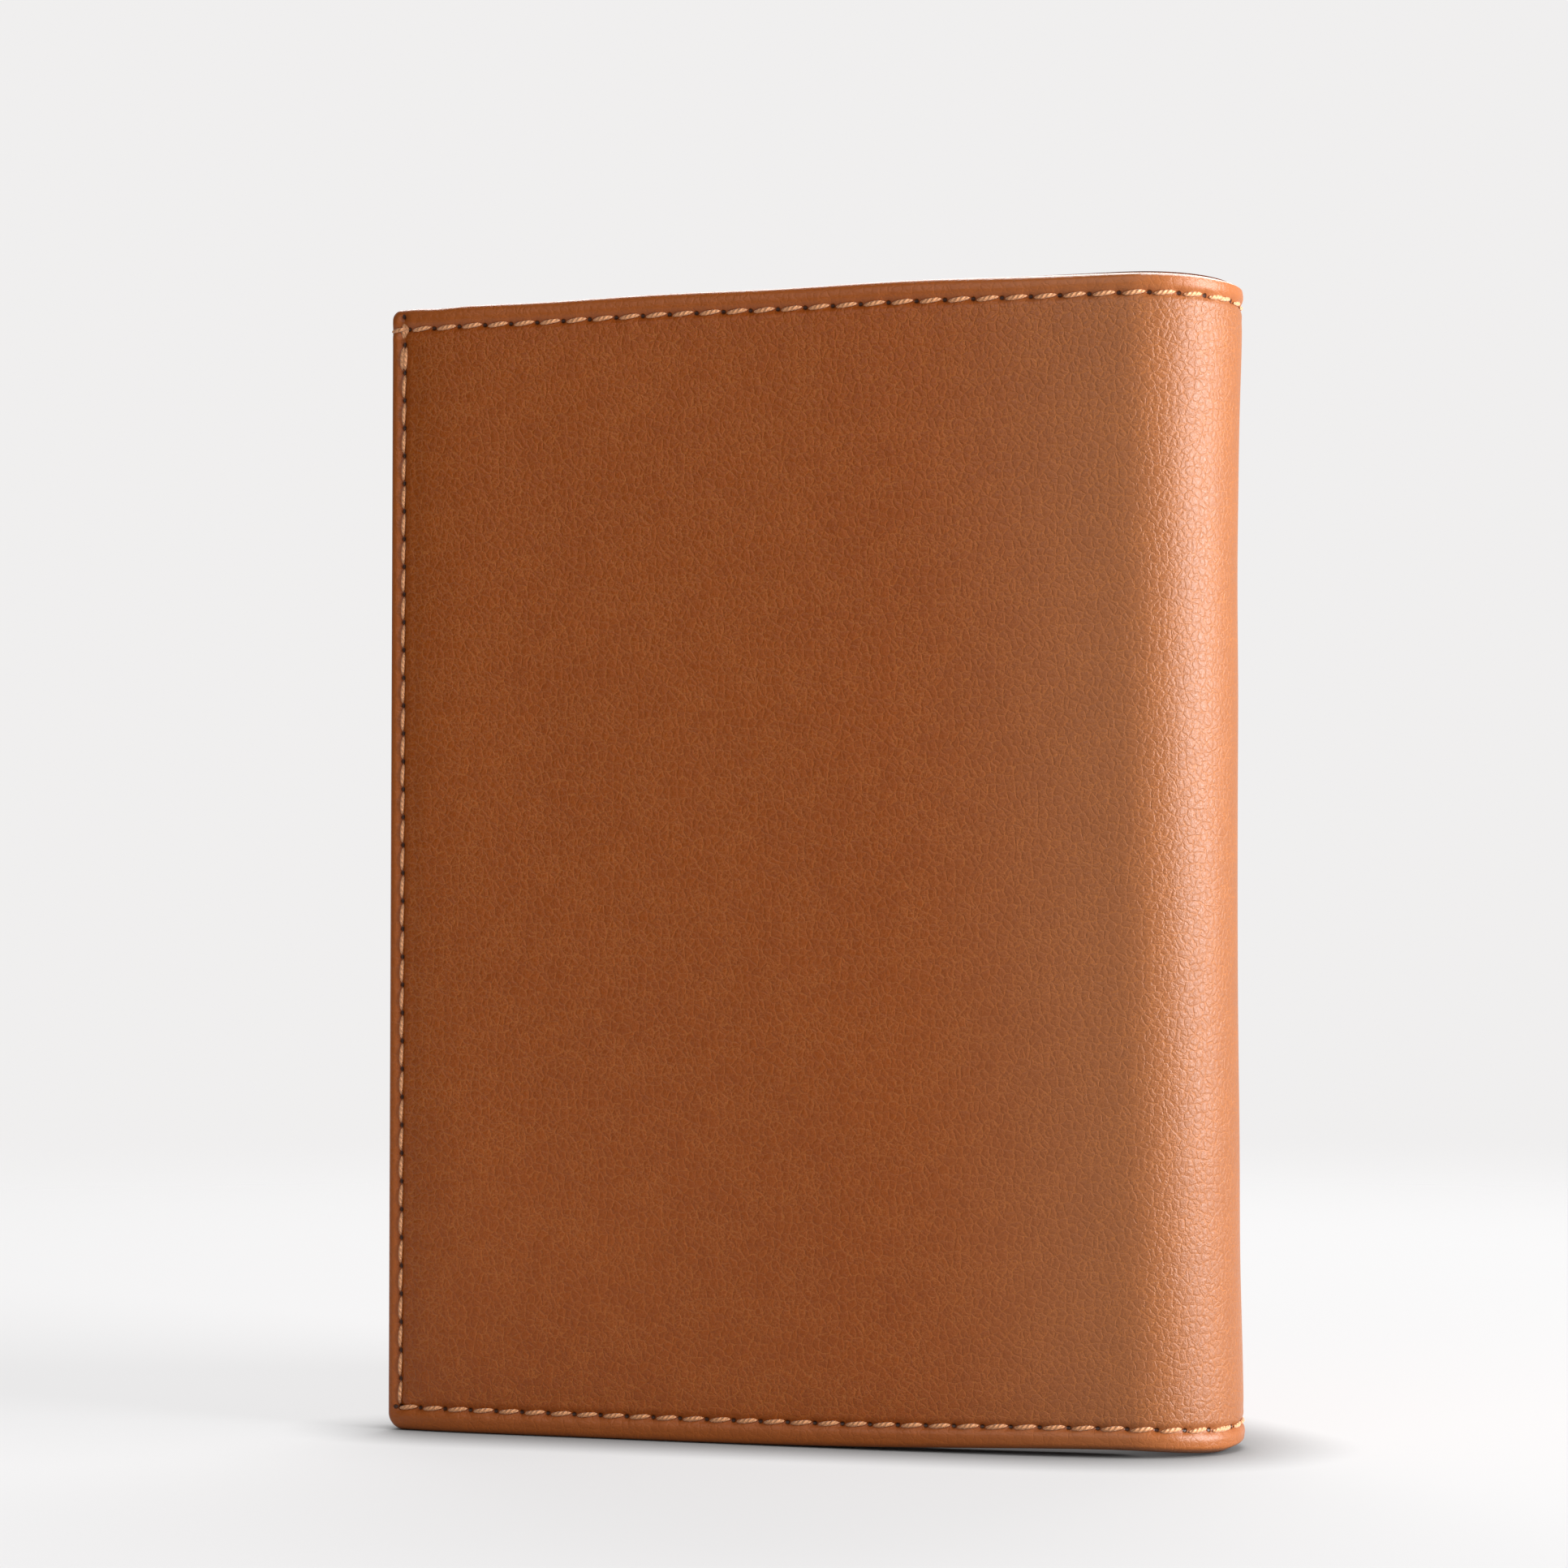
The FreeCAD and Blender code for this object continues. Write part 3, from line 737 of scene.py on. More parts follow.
def outer_leather_material(sizes, colours):
    """Tumbled calf leather with pale veins and smoother turned edges; painted shade darkens the needle holes and the
    leather round them, a painted highlight lightens the turned edges and a painted sheen pales the leather towards the
    spine.
    """
    material, shader, w = new_material("Outer leather")
    sheet = w.sheet()
    s, z, _ = w.split(sheet)
    flat = w.joined(s, z)
    edge_s = w.math("MINIMUM", s, w.math("SUBTRACT", CASE_LENGTH, s))
    grain = w.group(
        bpy.data.node_groups["Leather grain"],
        Place=flat,
        Large_cell=sizes.large_cell / MM,
        Small_cell=sizes.small_cell / MM,
        Vein=0.085,
    )
    holes = bpy.data.node_groups["Needle holes"]
    top_off = w.math("SUBTRACT", z, HEIGHT - HEM_INSET)
    low_off = w.math("SUBTRACT", z, CASE_INSET)
    side_off = w.math("SUBTRACT", edge_s, SIDE_INSET)
    top = w.group(holes, Along=edge_s, Off=top_off, First=HEM_FIRST_HOLE, Pitch=HEM_PITCH)
    low = w.group(holes, Along=edge_s, Off=low_off, First=CASE_FIRST_HOLE, Pitch=CASE_PITCH)
    side = w.group(holes, Along=z, Off=side_off, First=CASE_INSET, Pitch=SIDE_PITCH)
    hole = w.math("MAXIMUM", top.outputs["Mask"], w.math("MAXIMUM", low.outputs["Mask"], side.outputs["Mask"]))
    shade = w.math("MAXIMUM", top.outputs["Shade"], w.math("MAXIMUM", low.outputs["Shade"], side.outputs["Shade"]))
    inner = w.math("MINIMUM", w.math("MINIMUM", w.math("MULTIPLY", top_off, -1.0), low_off), side_off)
    body = w.step(inner, -0.2, 1.6, 0.35, 1.0)
    cloud = w.noise(flat, 0.035, 3.0, 0.5)
    mottle = w.math("MULTIPLY_ADD", w.noise(flat, 0.9, 3.0, 0.6), 0.4, w.math("MULTIPLY", grain.outputs["Tone"], 0.3))
    share = w.math("ADD", w.math("MULTIPLY", w.step(cloud, 0.3, 0.7), 0.2), mottle)
    toned = w.mix(share, colour(colours.leather_deep), colour(colours.leather))
    # Painted sheen: from 60 mm off the free edge to the spine the colour goes towards the paler spine colour
    toned = w.mix(w.step(edge_s, 60.0, 97.0, 0.0, 0.9), toned, colour(colours.spine_painted_sheen))
    vein_share = w.math("MULTIPLY", grain.outputs["Veins"], w.math("MULTIPLY", body, 0.55))
    veined = w.mix(vein_share, toned, colour(colours.leather_vein))
    # Painted highlight: outside the seam lines the colour goes towards the lighter rim colour, as if the rim caught the
    # light
    rim = w.step(inner, -0.6, 0.4, 0.4, 0.0)
    with_rim_highlight = w.mix(rim, veined, colour(colours.rim_painted_highlight))
    # Painted shade: darker round each needle hole, and near-black in the hole itself
    dark = w.mix(w.math("MULTIPLY", shade, 0.35), with_rim_highlight, colour(colours.leather_deep))
    w.put(w.mix(hole, dark, colour(colours.hole)), shader.inputs["Base Color"])
    rough = w.math("MULTIPLY_ADD", w.noise(flat, 0.8, 3.0), 0.14, 0.25)
    w.put(w.math("MULTIPLY_ADD", grain.outputs["Veins"], 0.1, rough, clamp=True), shader.inputs["Roughness"])
    lumps = w.math("MULTIPLY", w.noise(flat, 0.35, 3.0), 1.6)
    grain_height = w.math("MULTIPLY", grain.outputs["Height"], body)
    height = w.math("SUBTRACT", w.math("ADD", grain_height, lumps), w.math("MULTIPLY", hole, 3.2))
    add_bump(w, shader, height, 0.5, 0.00008)
    shader.inputs["Specular IOR Level"].default_value = 0.28
    return material


def inner_leather_material(sizes, colours):
    """Smooth fine leather of the panels and pockets."""
    material, shader, w = new_material("Inner leather")
    s, z, _ = w.split(w.sheet())
    flat = w.joined(s, z)
    grain = w.group(
        bpy.data.node_groups["Leather grain"],
        Place=flat,
        Large_cell=0.6 * sizes.large_cell / MM,
        Small_cell=0.6 * sizes.small_cell / MM,
        Vein=0.07,
    )
    cloud = w.noise(flat, 0.08, 4.0, 0.6)
    base = w.mix(w.step(cloud, 0.1, 0.7, 0.3, 1.0), colour(colours.leather_deep), colour(colours.leather))
    veined = w.mix(w.math("MULTIPLY", grain.outputs["Veins"], 0.25), base, colour(colours.leather_vein))
    w.put(veined, shader.inputs["Base Color"])
    w.put(w.math("MULTIPLY_ADD", w.noise(flat, 1.2, 3.0), 0.2, 0.4), shader.inputs["Roughness"])
    add_bump(w, shader, grain.outputs["Height"], 0.35, 0.00008)
    shader.inputs["Specular IOR Level"].default_value = 0.45
    return material


def lining_material(colours):
    """Plain woven cloth."""
    material, shader, w = new_material("Woven lining")
    s, z, _ = w.split(w.sheet())
    warp = w.math("SINE", w.math("MULTIPLY", s, 2 * math.pi / 0.42))
    weft = w.math("SINE", w.math("MULTIPLY", z, 2 * math.pi / 0.42))
    weave = w.math("MULTIPLY", warp, weft)
    share = w.math("MULTIPLY_ADD", weave, 0.25, 0.5)
    deep = tuple(0.6 * value for value in colours.lining)
    w.put(w.mix(share, colour(deep), colour(colours.lining)), shader.inputs["Base Color"])
    shader.inputs["Roughness"].default_value = 0.8
    add_bump(w, shader, weave, 0.5, 0.00006)
    return material


def board_material(colours):
    """Raw leather fibre board."""
    material, shader, w = new_material("Fibre board")
    flecks = w.noise(w.sheet(), 1.6, 4.0, 0.7)
    deep = tuple(0.6 * value for value in colours.board)
    w.put(w.mix(w.step(flecks, 0.4, 0.6), colour(deep), colour(colours.board)), shader.inputs["Base Color"])
    shader.inputs["Roughness"].default_value = 0.85
    add_bump(w, shader, flecks, 0.4, 0.00008)
    return material


def thread_material(colours):
    """Two-ply twisted thread: slanted ridges along each stitch, with painted shade in the grooves between them and a
    tone that differs at random.
    """
    material, shader, w = new_material("Twisted thread")
    along, around, number = w.split(w.sheet())
    phase = w.math("ADD", w.math("MULTIPLY", along, 2 * math.pi / 0.62), w.math("MULTIPLY", around, 2.0))
    ply = w.math("SINE", phase)
    tone = w.noise(w.joined(number, along), 3.0, 2.0)
    deep = tuple(0.62 * value for value in colours.thread)
    # Painted shade: darker in the grooves between the plies and lighter on their ridges; the noise adds a random tone
    share = w.math("MULTIPLY_ADD", ply, 0.3, w.math("MULTIPLY", tone, 1.1), clamp=True)
    w.put(w.mix(share, colour(deep), colour(colours.thread)), shader.inputs["Base Color"])
    shader.inputs["Roughness"].default_value = 0.5
    shader.inputs["Sheen Weight"].default_value = 0.2
    add_bump(w, shader, ply, 0.6, 0.00008)
    return material


def film_material():
    """Clear glossy vinyl."""
    material, shader, w = new_material("Clear film")
    haze = w.noise(w.sheet(), 0.12, 3.0)
    shader.inputs["Base Color"].default_value = (0.86, 0.87, 0.86, 1.0)
    w.put(w.math("MULTIPLY_ADD", haze, 0.12, 0.08), shader.inputs["Roughness"])
    w.put(w.math("MULTIPLY_ADD", haze, 0.1, 0.14), shader.inputs["Alpha"])
    return material


class WALLET_OT_materials(bpy.types.Operator):
    """Makes the node groups and the materials"""

    bl_idname = "wallet.materials"
    bl_label = "Materials"

    def execute(self, context):
        sizes = context.scene.wallet_sizes
        colours = context.scene.wallet_colours
        grain_group()
        hole_group()
        outer_leather_material(sizes, colours)
        inner_leather_material(sizes, colours)
        lining_material(colours)
        board_material(colours)
        thread_material(colours)
        film_material()
        return {"FINISHED"}


class WALLET_OT_case(bpy.types.Operator):
    """Shapes the outer leather: two covers and the bends of the spine"""

    bl_idname = "wallet.case"
    bl_label = "Case leather"

    def execute(self, context):
        up = joined_lines(rim_lines(0.0, 1), rim_lines(HEIGHT, -1), CASE_STEP)
        for name, start, end, bodies, nodes in STRETCHES:
            step = CASE_STEP if len(bodies) == 1 else 0.45
            across = stretch_lines(start, end, step, 1.0)
            piece = slab(f"leather_{name}", across, up, outer_face, inner_face)
            dress(piece, "Outer leather", nodes)
            follow(piece, start, end, bodies)
        return {"FINISHED"}


def lining_face(depth):
    """The place of each point of the lining's face at one depth."""

    def face(s, z):
        spine = bell(np.minimum(s, CASE_LENGTH - s) - CASE_LENGTH / 2, 22.0)
        d = depth - 0.7 * spine * (TOP_FLARE * np.exp(-(HEIGHT - z) / 17) + LOW_FLARE * np.exp(-z / 9))
        return case_points(s, d, z + edge_shift(s, z))

    return face


class WALLET_OT_lining(bpy.types.Operator):
    """Lays the woven lining inside the case"""

    bl_idname = "wallet.lining"
    bl_label = "Lining"

    def execute(self, context):
        inset = LINING_LOW[2]
        up = spread(inset, HEIGHT - inset, LAYER_STEP)
        for name, start, end, bodies, nodes in STRETCHES:
            start = max(start, inset)
            end = min(end, CASE_LENGTH - inset)
            across = spread(start, end, LAYER_STEP if len(bodies) == 1 else 0.6)
            piece = slab(f"lining_{name}", across, up, lining_face(TURNED), lining_face(LINED))
            dress(piece, "Woven lining", [n.replace("leather", "lining").replace("cover", "lining") for n in nodes])
            follow(piece, start, end, bodies)
        return {"FINISHED"}


class WALLET_OT_boards(bpy.types.Operator):
    """Puts the stiff board inside each cover"""

    bl_idname = "wallet.boards"
    bl_label = "Boards"

    def execute(self, context):
        for side in ("back", "front"):
            def place(depth):
                def face(s, z):
                    there = s if side == "back" else CASE_LENGTH - s
                    return case_points(there, np.full_like(s, depth), z)
                return face

            across = spread(BOARD_REACH, COVER_WIDTH, LAYER_STEP)
            up = spread(BOARD_LOW[2], BOARD_HIGH[2], LAYER_STEP)
            piece = slab(f"board_{side}", across, up, place(LEATHER + 0.02), place(TURNED - 0.02))
            dress(piece, "Fibre board", [f"{side}_board"])
            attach(piece, f"{side}_half")
        return {"FINISHED"}


def spine_side(depth):
    """The smallest u that an inner layer may have at a depth, clear of the lining as the wallet closes."""
    hollow = CLOSED_DEPTH - LINED - 0.5
    return -np.sqrt(np.maximum(hollow * hollow - np.square(CLOSED_DEPTH - depth), 0))


def layer_face(side, sewn, middle, window=None, phase=None):
    """The place of each point of an inner layer's face: sewn down at the free edge and low edge, raised between."""
    phase = middle if phase is None else phase

    def face(u, z):
        if window:
            u, z = window_rounded(u, z, window)
        out = smooth((SEWN_EDGE - SEWN_WIDTH - u) / SLOPE_WIDTH)
        over = smooth((z - LAYER_LOW - SEWN_WIDTH) / SLOPE_WIDTH)
        raised = out * over
        side_d = sewn + (middle - sewn) * smooth((z - LAYER_LOW - SEWN_WIDTH) / SLOPE_WIDTH)
        limit = np.maximum(spine_side(side_d) + 0.2, -PANEL_REACH)
        near = np.clip((10 - u) / (10 + PANEL_REACH), 0, 1)
        u = np.where(u < 10, 10 - near * (10 - limit), u)
        bow = case_bow(side, u)
        d = sewn + (middle - sewn) * raised + bow * (1 - raised) + np.minimum(bow, 0) * raised
        d = d + 0.12 * raised * undulation(u * 1.7 + 11 * phase, z)
        return half_points(side, u, d, z)

    return face


def window_rounded(u, z, window):
    """Draws the edge of the window's hole in at its corners, and the leather beside it a little."""
    u0, u1, z0, z1 = window
    from_u = np.minimum(u - u0, u1 - u)
    from_z = np.minimum(z - z0, z1 - z)
    beside_u = np.clip(from_u, 0, WINDOW_CORNER) / WINDOW_CORNER
    beside_z = np.clip(from_z, 0, WINDOW_CORNER) / WINDOW_CORNER
    angle = math.pi / 4 * (1 - np.maximum(beside_u, beside_z))
    short = WINDOW_CORNER * (1 - np.cos(angle))
    long = WINDOW_CORNER * (1 - np.sin(angle))
    on_upright = beside_z >= beside_u
    target_u = np.where(on_upright, short, long)
    target_z = np.where(on_upright, long, short)
    outside = np.maximum(np.maximum(-from_u, -from_z), 0)
    weight = np.square(np.clip(1 - outside / 3, 0, 1))
    move_u = (target_u - beside_u * WINDOW_CORNER) * weight
    move_z = (target_z - beside_z * WINDOW_CORNER) * weight
    u = u + np.where(u < (u0 + u1) / 2, move_u, -move_u)
    z = z + np.where(z < (z0 + z1) / 2, move_z, -move_z)
    return u, z


def inner_layer(side, node, thickness, window=None):
    """One panel or pocket, at the depths and with the top that its node has."""
    index = 0 if "panel" in node else int(node[-1]) if "pocket" in node else 3
    sewn = LINED if index == 0 else LINED + PANEL + (index - 1) * POCKET
    raised = PANEL_HIGH[1] - START[1] - PANEL
    room = FIRST_POCKET_HIGH[1] - POCKET - PANEL_HIGH[1]
    middle = raised if index == 0 else raised + PANEL + room + (index - 1) * (POCKET + room)
    top = node_box(node)[1][2]
    across = joined_lines(-PANEL_REACH + np.array([0, 0.15]), SEWN_EDGE - np.array([0.15, 0]), LAYER_STEP)
    up = joined_lines(LAYER_LOW + np.array([0, 0.15]), top - np.array([0.6, 0.15, 0]), LAYER_STEP)
    outer = layer_face(side, sewn, middle, window)
    inner = layer_face(side, sewn + thickness, middle + thickness, window)
    piece = slab(node if node.startswith(side) else f"{side}_{node}", across, up, outer, inner) if not window else None
    return piece, (across, up, outer, inner)


def pocket_name(node):
    """The name of the scene's piece that stands for a node."""
    return f"soft_{node}"


def window_span():
    """The window's sides in the front half: u from and to, z from and to."""
    corner, along, _ = half_frame("front")
    low, high = node_box("front_window_film")
    reach = (low[0] - corner[0]) / along[0]
    near = (high[0] - corner[0]) / along[0]
    span = sorted((near, reach))
    return span[0] + FILM_LAP, span[1] - FILM_LAP, low[2] + FILM_LAP, high[2] - FILM_LAP


class WALLET_OT_pockets(bpy.types.Operator):
    """Shapes the panels and the card pockets"""

    bl_idname = "wallet.pockets"
    bl_label = "Panels and pockets"

    def execute(self, context):
        pockets = {"back": 4, "front": 2}
        for side, count in pockets.items():
            nodes = [f"{side}_panel"] + [f"{side}_card_pocket_{i}" for i in range(1, count + 1)]
            for node in nodes:
                thickness = PANEL if "panel" in node else POCKET
                piece, _ = inner_layer(side, node, thickness)
                piece.name = pocket_name(node)
                piece.data.name = piece.name
                dress(piece, "Inner leather", [node])
                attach(piece, f"{side}_half")
        return {"FINISHED"}


class WALLET_OT_window(bpy.types.Operator):
    """Shapes the window pocket's leather frame and its clear film"""

    bl_idname = "wallet.window"
    bl_label = "Window"

    def execute(self, context):
        u0, u1, z0, z1 = window_span()
        _, (across, up, outer, inner) = inner_layer("front", "front_window_frame", POCKET, (u0, u1, z0, z1))
        across = np.concatenate([spread(-PANEL_REACH, u0, 1.0), spread(u0, u1, 1.0)[1:], spread(u1, SEWN_EDGE, 1.0)[1:]])
        up = np.concatenate([spread(LAYER_LOW, z0, 1.0), spread(z0, z1, 1.0)[1:], spread(z1, up[-1], 1.0)[1:]])
        bpy.ops.object.select_all(action="DESELECT")
        bpy.ops.mesh.primitive_grid_add(x_subdivisions=len(across) - 1, y_subdivisions=len(up) - 1, size=1)
        piece = bpy.context.active_object
        piece.name = pocket_name("front_window_frame")
        self.cut_hole(piece, across, up, (u0, u1, z0, z1))
        thickness = piece.modifiers.new("Thickness", "SOLIDIFY")
        thickness.thickness = 0.1
        thickness.offset = -1
        bpy.ops.object.modifier_apply(modifier=thickness.name)
        shaped(piece, across, up, outer, inner)
        dress(piece, "Inner leather", ["front_window_frame"])
        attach(piece, "front_half")
        self.add_film((u0, u1, z0, z1))
        return {"FINISHED"}

    def cut_hole(self, piece, across, up, window):
        """Deletes the faces of the grid that lie in the window."""
        u0, u1, z0, z1 = window
        for face in piece.data.polygons:
            column = (face.center[0] + 0.5) * (len(across) - 1)
            row = (face.center[1] + 0.5) * (len(up) - 1)
            u = np.interp(column, np.arange(len(across)), across)
            z = np.interp(row, np.arange(len(up)), up)
            face.select = bool(u0 < u < u1 and z0 < z < z1)
        for edge in piece.data.edges:
            edge.select = False
        for point in piece.data.vertices:
            point.select = False
        bpy.ops.object.mode_set(mode="EDIT")
        bpy.ops.mesh.select_mode(type="FACE")
        bpy.ops.mesh.delete(type="FACE")
        bpy.ops.object.mode_set(mode="OBJECT")

    def add_film(self, window):
        """The clear film behind the frame."""
        u0, u1, z0, z1 = window
        sewn = LINED + PANEL + 2 * POCKET
        raised = PANEL_HIGH[1] - START[1]
        room = FIRST_POCKET_HIGH[1] - POCKET - PANEL_HIGH[1]
        middle = raised + room + 2 * (POCKET + room)

        def face(behind):
            return layer_face("front", sewn - behind, middle - behind, phase=middle)

        across = spread(u0 - FILM_LAP, u1 + FILM_LAP, 1.0)
        up = spread(z0 - FILM_LAP, z1 + FILM_LAP, 1.0)
        piece = slab("soft_front_window_film", across, up, face(0.17), face(0.06))
        dress(piece, "Clear film", ["front_window_film"])
        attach(piece, "front_half")


def stitch_template(sizes):
    """One stitch, along X, standing out along Z: a short plump length of thread."""
    bpy.ops.object.select_all(action="DESELECT")
    bpy.ops.mesh.primitive_uv_sphere_add(segments=8, ring_count=8, radius=1, rotation=(0, math.pi / 2, 0))
    template = bpy.context.active_object
    bpy.ops.object.transform_apply(location=False, rotation=True, scale=False)
    places = np.array([v.co for v in template.data.vertices])
    along = np.sign(places[:, 0]) * np.abs(np.arcsin(np.clip(places[:, 0], -1, 1)) / (math.pi / 2)) ** 0.8
    radius = np.hypot(places[:, 1], places[:, 2])
    plump = np.where(radius > 0.01, np.maximum(radius, 0.0) ** 0.45 / np.maximum(radius, 1e-6), 0)
    places[:, 0] = along * 0.5
    places[:, 1] *= plump * 0.5 * sizes.thread_width
    places[:, 2] *= plump * 0.5 * sizes.thread_height
    return template, places


class Stitcher:
    """Places copies of one stitch and joins them into one piece for each stretch of a seam."""

    def __init__(self, sizes):
        self.sizes = sizes
        self.template, self.shape = stitch_template(sizes)
        self.polygons = [tuple(p.vertices) for p in self.template.data.polygons]

    def finish(self):
        """Takes the pattern stitch away."""
        bpy.data.objects.remove(self.template)

    def piece(self, name, stitches):
        """One mesh of all the stitches. Each is (middle, along, outward, length, width): metres, then a factor."""
        points = []
        sheet = []
        faces = []
        for number, (middle, along, outward, length, width) in enumerate(stitches):
            side = outward.cross(along).normalized()
            turn = Matrix((along, side, outward)).transposed()
            shape = self.shape.copy()
            shape[:, 0] *= length
            shape[:, 2] -= 0.00012 * np.square(2 * self.shape[:, 0]) * 1.6
            first = number * len(shape)
            shape[:, 1] *= width
            points.append(shape @ np.array(turn).T + np.array(middle))
            around = np.arctan2(self.shape[:, 2], self.shape[:, 1])
            sheet.append(np.stack([shape[:, 0] / MM, around, np.full(len(shape), float(number))], axis=-1))
            faces += [tuple(first + corner for corner in polygon) for polygon in self.polygons]
        mesh = bpy.data.meshes.new(name)
        mesh.from_pydata(np.concatenate(points).tolist(), [], faces)
        attribute = mesh.attributes.new("sheet_mm", "FLOAT_VECTOR", "POINT")
        attribute.data.foreach_set("vector", np.concatenate(sheet).ravel())
        mesh.shade_smooth()
        if signed_volume(mesh) < 0:
            mesh.flip_normals()
        piece = bpy.data.objects.new(name, mesh)
        bpy.context.scene.collection.objects.link(piece)
        return piece

    def on_case(self, s, z, upright=False, span=None, lean=None, outer=True, depth=0.0, width=1.0):
        """A stitch on the outer face of the case, or on its lining, round a middle at s and z."""
        along, outward = case_direction(s)
        up = Vector((0, 0, 1))
        if upright:
            line = up
        else:
            line = along
        across = outward.cross(line)
        angle = self.sizes.stitch_lean if lean is None else lean
        line = (line * math.cos(angle) + across * math.sin(angle)).normalized()
        if outer:
            middle = outer_face(np.array([s]), np.array([z]))[0]
            middle = Vector(middle) + outward * 0.00013
        else:
            outward = -outward
            middle = Vector(case_points(np.array([s]), np.array([depth]), np.array([z]))[0]) + outward * 0.0001
        return middle, line, outward, span, width


def level_places(first, pitch, low, high):
    """The middles of the stitches between holes, from low to high along the case."""
    count = int((high - low) / pitch) + 2
    start = math.ceil((low - first) / pitch - 0.5)
    middles = [first + (start + k + 0.5) * pitch for k in range(count)]
    return [m for m in middles if low <= m < high]


def mirrored_places(first, pitch, low, high):
    """As level_places, with the front cover's stitches the mirror of the back cover's."""
    middle = CASE_LENGTH / 2
    places = [m for m in level_places(first, pitch, 0.2, middle) if low <= m < high]
    return places + [CASE_LENGTH - m for m in level_places(first, pitch, 0.2, middle) if low <= CASE_LENGTH - m < high]


class WALLET_OT_stitches(bpy.types.Operator):
    """Sews the hem seam, the case seam and the pocket seams"""

    bl_idname = "wallet.stitches"
    bl_label = "Stitches"

    def execute(self, context):
        stitcher = Stitcher(context.scene.wallet_sizes)
        for name, start, end, bodies, nodes in STRETCHES:
            self.level_seams(stitcher, name, start, end, bodies, nodes)
        for side in ("back", "front"):
            self.side_seam(stitcher, side)
            self.pocket_seam(stitcher, side)
        stitcher.finish()
        return {"FINISHED"}

    def level_seams(self, stitcher, name, start, end, bodies, nodes):
        """The hem seam and the case seam of one stretch, outside and inside."""
        hem = []
        case = []
        for s in mirrored_places(HEM_FIRST_HOLE - HEM_PITCH, HEM_PITCH, start, end):
            first = min(s, CASE_LENGTH - s) < HEM_PITCH / 2
            inward = 0.0 if not first else 0.22 if s < COVER_WIDTH else -0.22
            length = HEM_PITCH * (0.66 if first else 0.8) * MM
            hem.append(stitcher.on_case(s + inward, HEIGHT - HEM_INSET, span=length))
            if 1.3 < s < CASE_LENGTH - 1.3:
                hem.append(stitcher.on_case(s, HEIGHT - HEM_INSET, span=HEM_PITCH * 0.7 * MM, outer=False, depth=LINED))
        for s in mirrored_places(CASE_FIRST_HOLE, CASE_PITCH, start, end):
            case.append(stitcher.on_case(s, CASE_INSET, span=CASE_PITCH * 0.8 * MM))
            depth = LINED
            if s < COVER_WIDTH - 0.8 or s > CASE_LENGTH - COVER_WIDTH + 0.8:
                depth = stack_depth("back" if s < CASE_LENGTH / 2 else "front", CASE_INSET)
            case.append(stitcher.on_case(s, CASE_INSET, span=CASE_PITCH * 0.7 * MM, outer=False, depth=depth))
        threads = [n.replace("leather", "thread") for n in nodes if "spine" in n]
        sides = [n.split("_")[0] for n in nodes if "cover" in n]
        for kind, stitches, own in (("hem", hem, "hem_thread"), ("case", case, "seam_thread")):
            piece = stitcher.piece(f"{kind}_stitches_{name}", stitches)
            dress(piece, "Twisted thread", threads + [f"{side}_{own}" for side in sides])
            follow(piece, start, end, bodies)

    def side_seam(self, stitcher, side):
        """The case seam beside the free edge, with its doubled start at the top."""
        there = SIDE_INSET if side == "back" else CASE_LENGTH - SIDE_INSET
        stitches = []
        lean = math.radians(-4) if side == "back" else math.radians(4)
        for k in range(SIDE_STITCHES):
            z = CASE_INSET + (k + 0.5) * SIDE_PITCH
            doubled = k >= SIDE_STITCHES - DOUBLED_STITCHES
            for aside in (-0.2, 0.2) if doubled else (0.0,):
                width = 1.2 if doubled else 1.0
                stitches.append(stitcher.on_case(there + aside, z, True, SIDE_PITCH * 0.86 * MM, lean, width=width))
            depth = stack_depth(side, z)
            stitches.append(stitcher.on_case(there, z, True, SIDE_PITCH * 0.7 * MM, lean, False, depth))
        piece = stitcher.piece(f"side_stitches_{side}", stitches)
        dress(piece, "Twisted thread", [f"{side}_seam_thread"])
        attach(piece, f"{side}_half")

    def pocket_seam(self, stitcher, side):
        """The seam that joins the pockets to their panel beside the spine."""
        _, along, inward = half_frame(side)
        outward = Vector((inward[0], inward[1], 0))
        u = POCKET_SEAM_INSET - PANEL_REACH
        low = LAYER_LOW + SEWN_WIDTH + SLOPE_WIDTH
        count = round((PANEL_TOP - low) / SIDE_PITCH)
        stitches = []
        for k in range(count):
            z = low + (k + 0.5) * (PANEL_TOP - low) / count
            d = raised_depth(side, z)
            middle = Vector(half_points(side, np.array([u]), np.array([d]), np.array([z]))[0]) + outward * 0.00012
            stitches.append((middle, Vector((0, 0, 1)), outward, SIDE_PITCH * 0.74 * MM, 1.0))
        piece = stitcher.piece(f"pocket_stitches_{side}", stitches)
        dress(piece, "Twisted thread", [f"{side}_pocket_thread"])
        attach(piece, f"{side}_half")


def layers_at(side, z):
    """How many pockets of a half reach up to a height."""
    nodes = [n for n in frame["nodes"] if n.startswith(f"{side}_card_pocket") or n == f"{side}_window_frame"]
    return sum(1 for n in nodes if node_box(n)[1][2] > z + 1.5)


def stack_depth(side, z):
    """The depth of the inner face of all that is sewn together at a height."""
    if z > PANEL_TOP:
        return LINED
    return LINED + PANEL + layers_at(side, z) * POCKET


def raised_depth(side, z):
    """The depth of the raised stack's inner face at a height."""
    raised = PANEL_HIGH[1] - START[1]
    room = FIRST_POCKET_HIGH[1] - POCKET - PANEL_HIGH[1]
    return raised + layers_at(side, z) * (POCKET + room)


# The stage, the lights and the camera

CAMERA_YAW = 19.143
CAMERA_TILT = 2.4
CAMERA_OFFSET = -30.706
CAMERA_DISTANCE = 454.625
CAMERA_HEIGHT = 56.093
CAMERA_LENS = 93.168

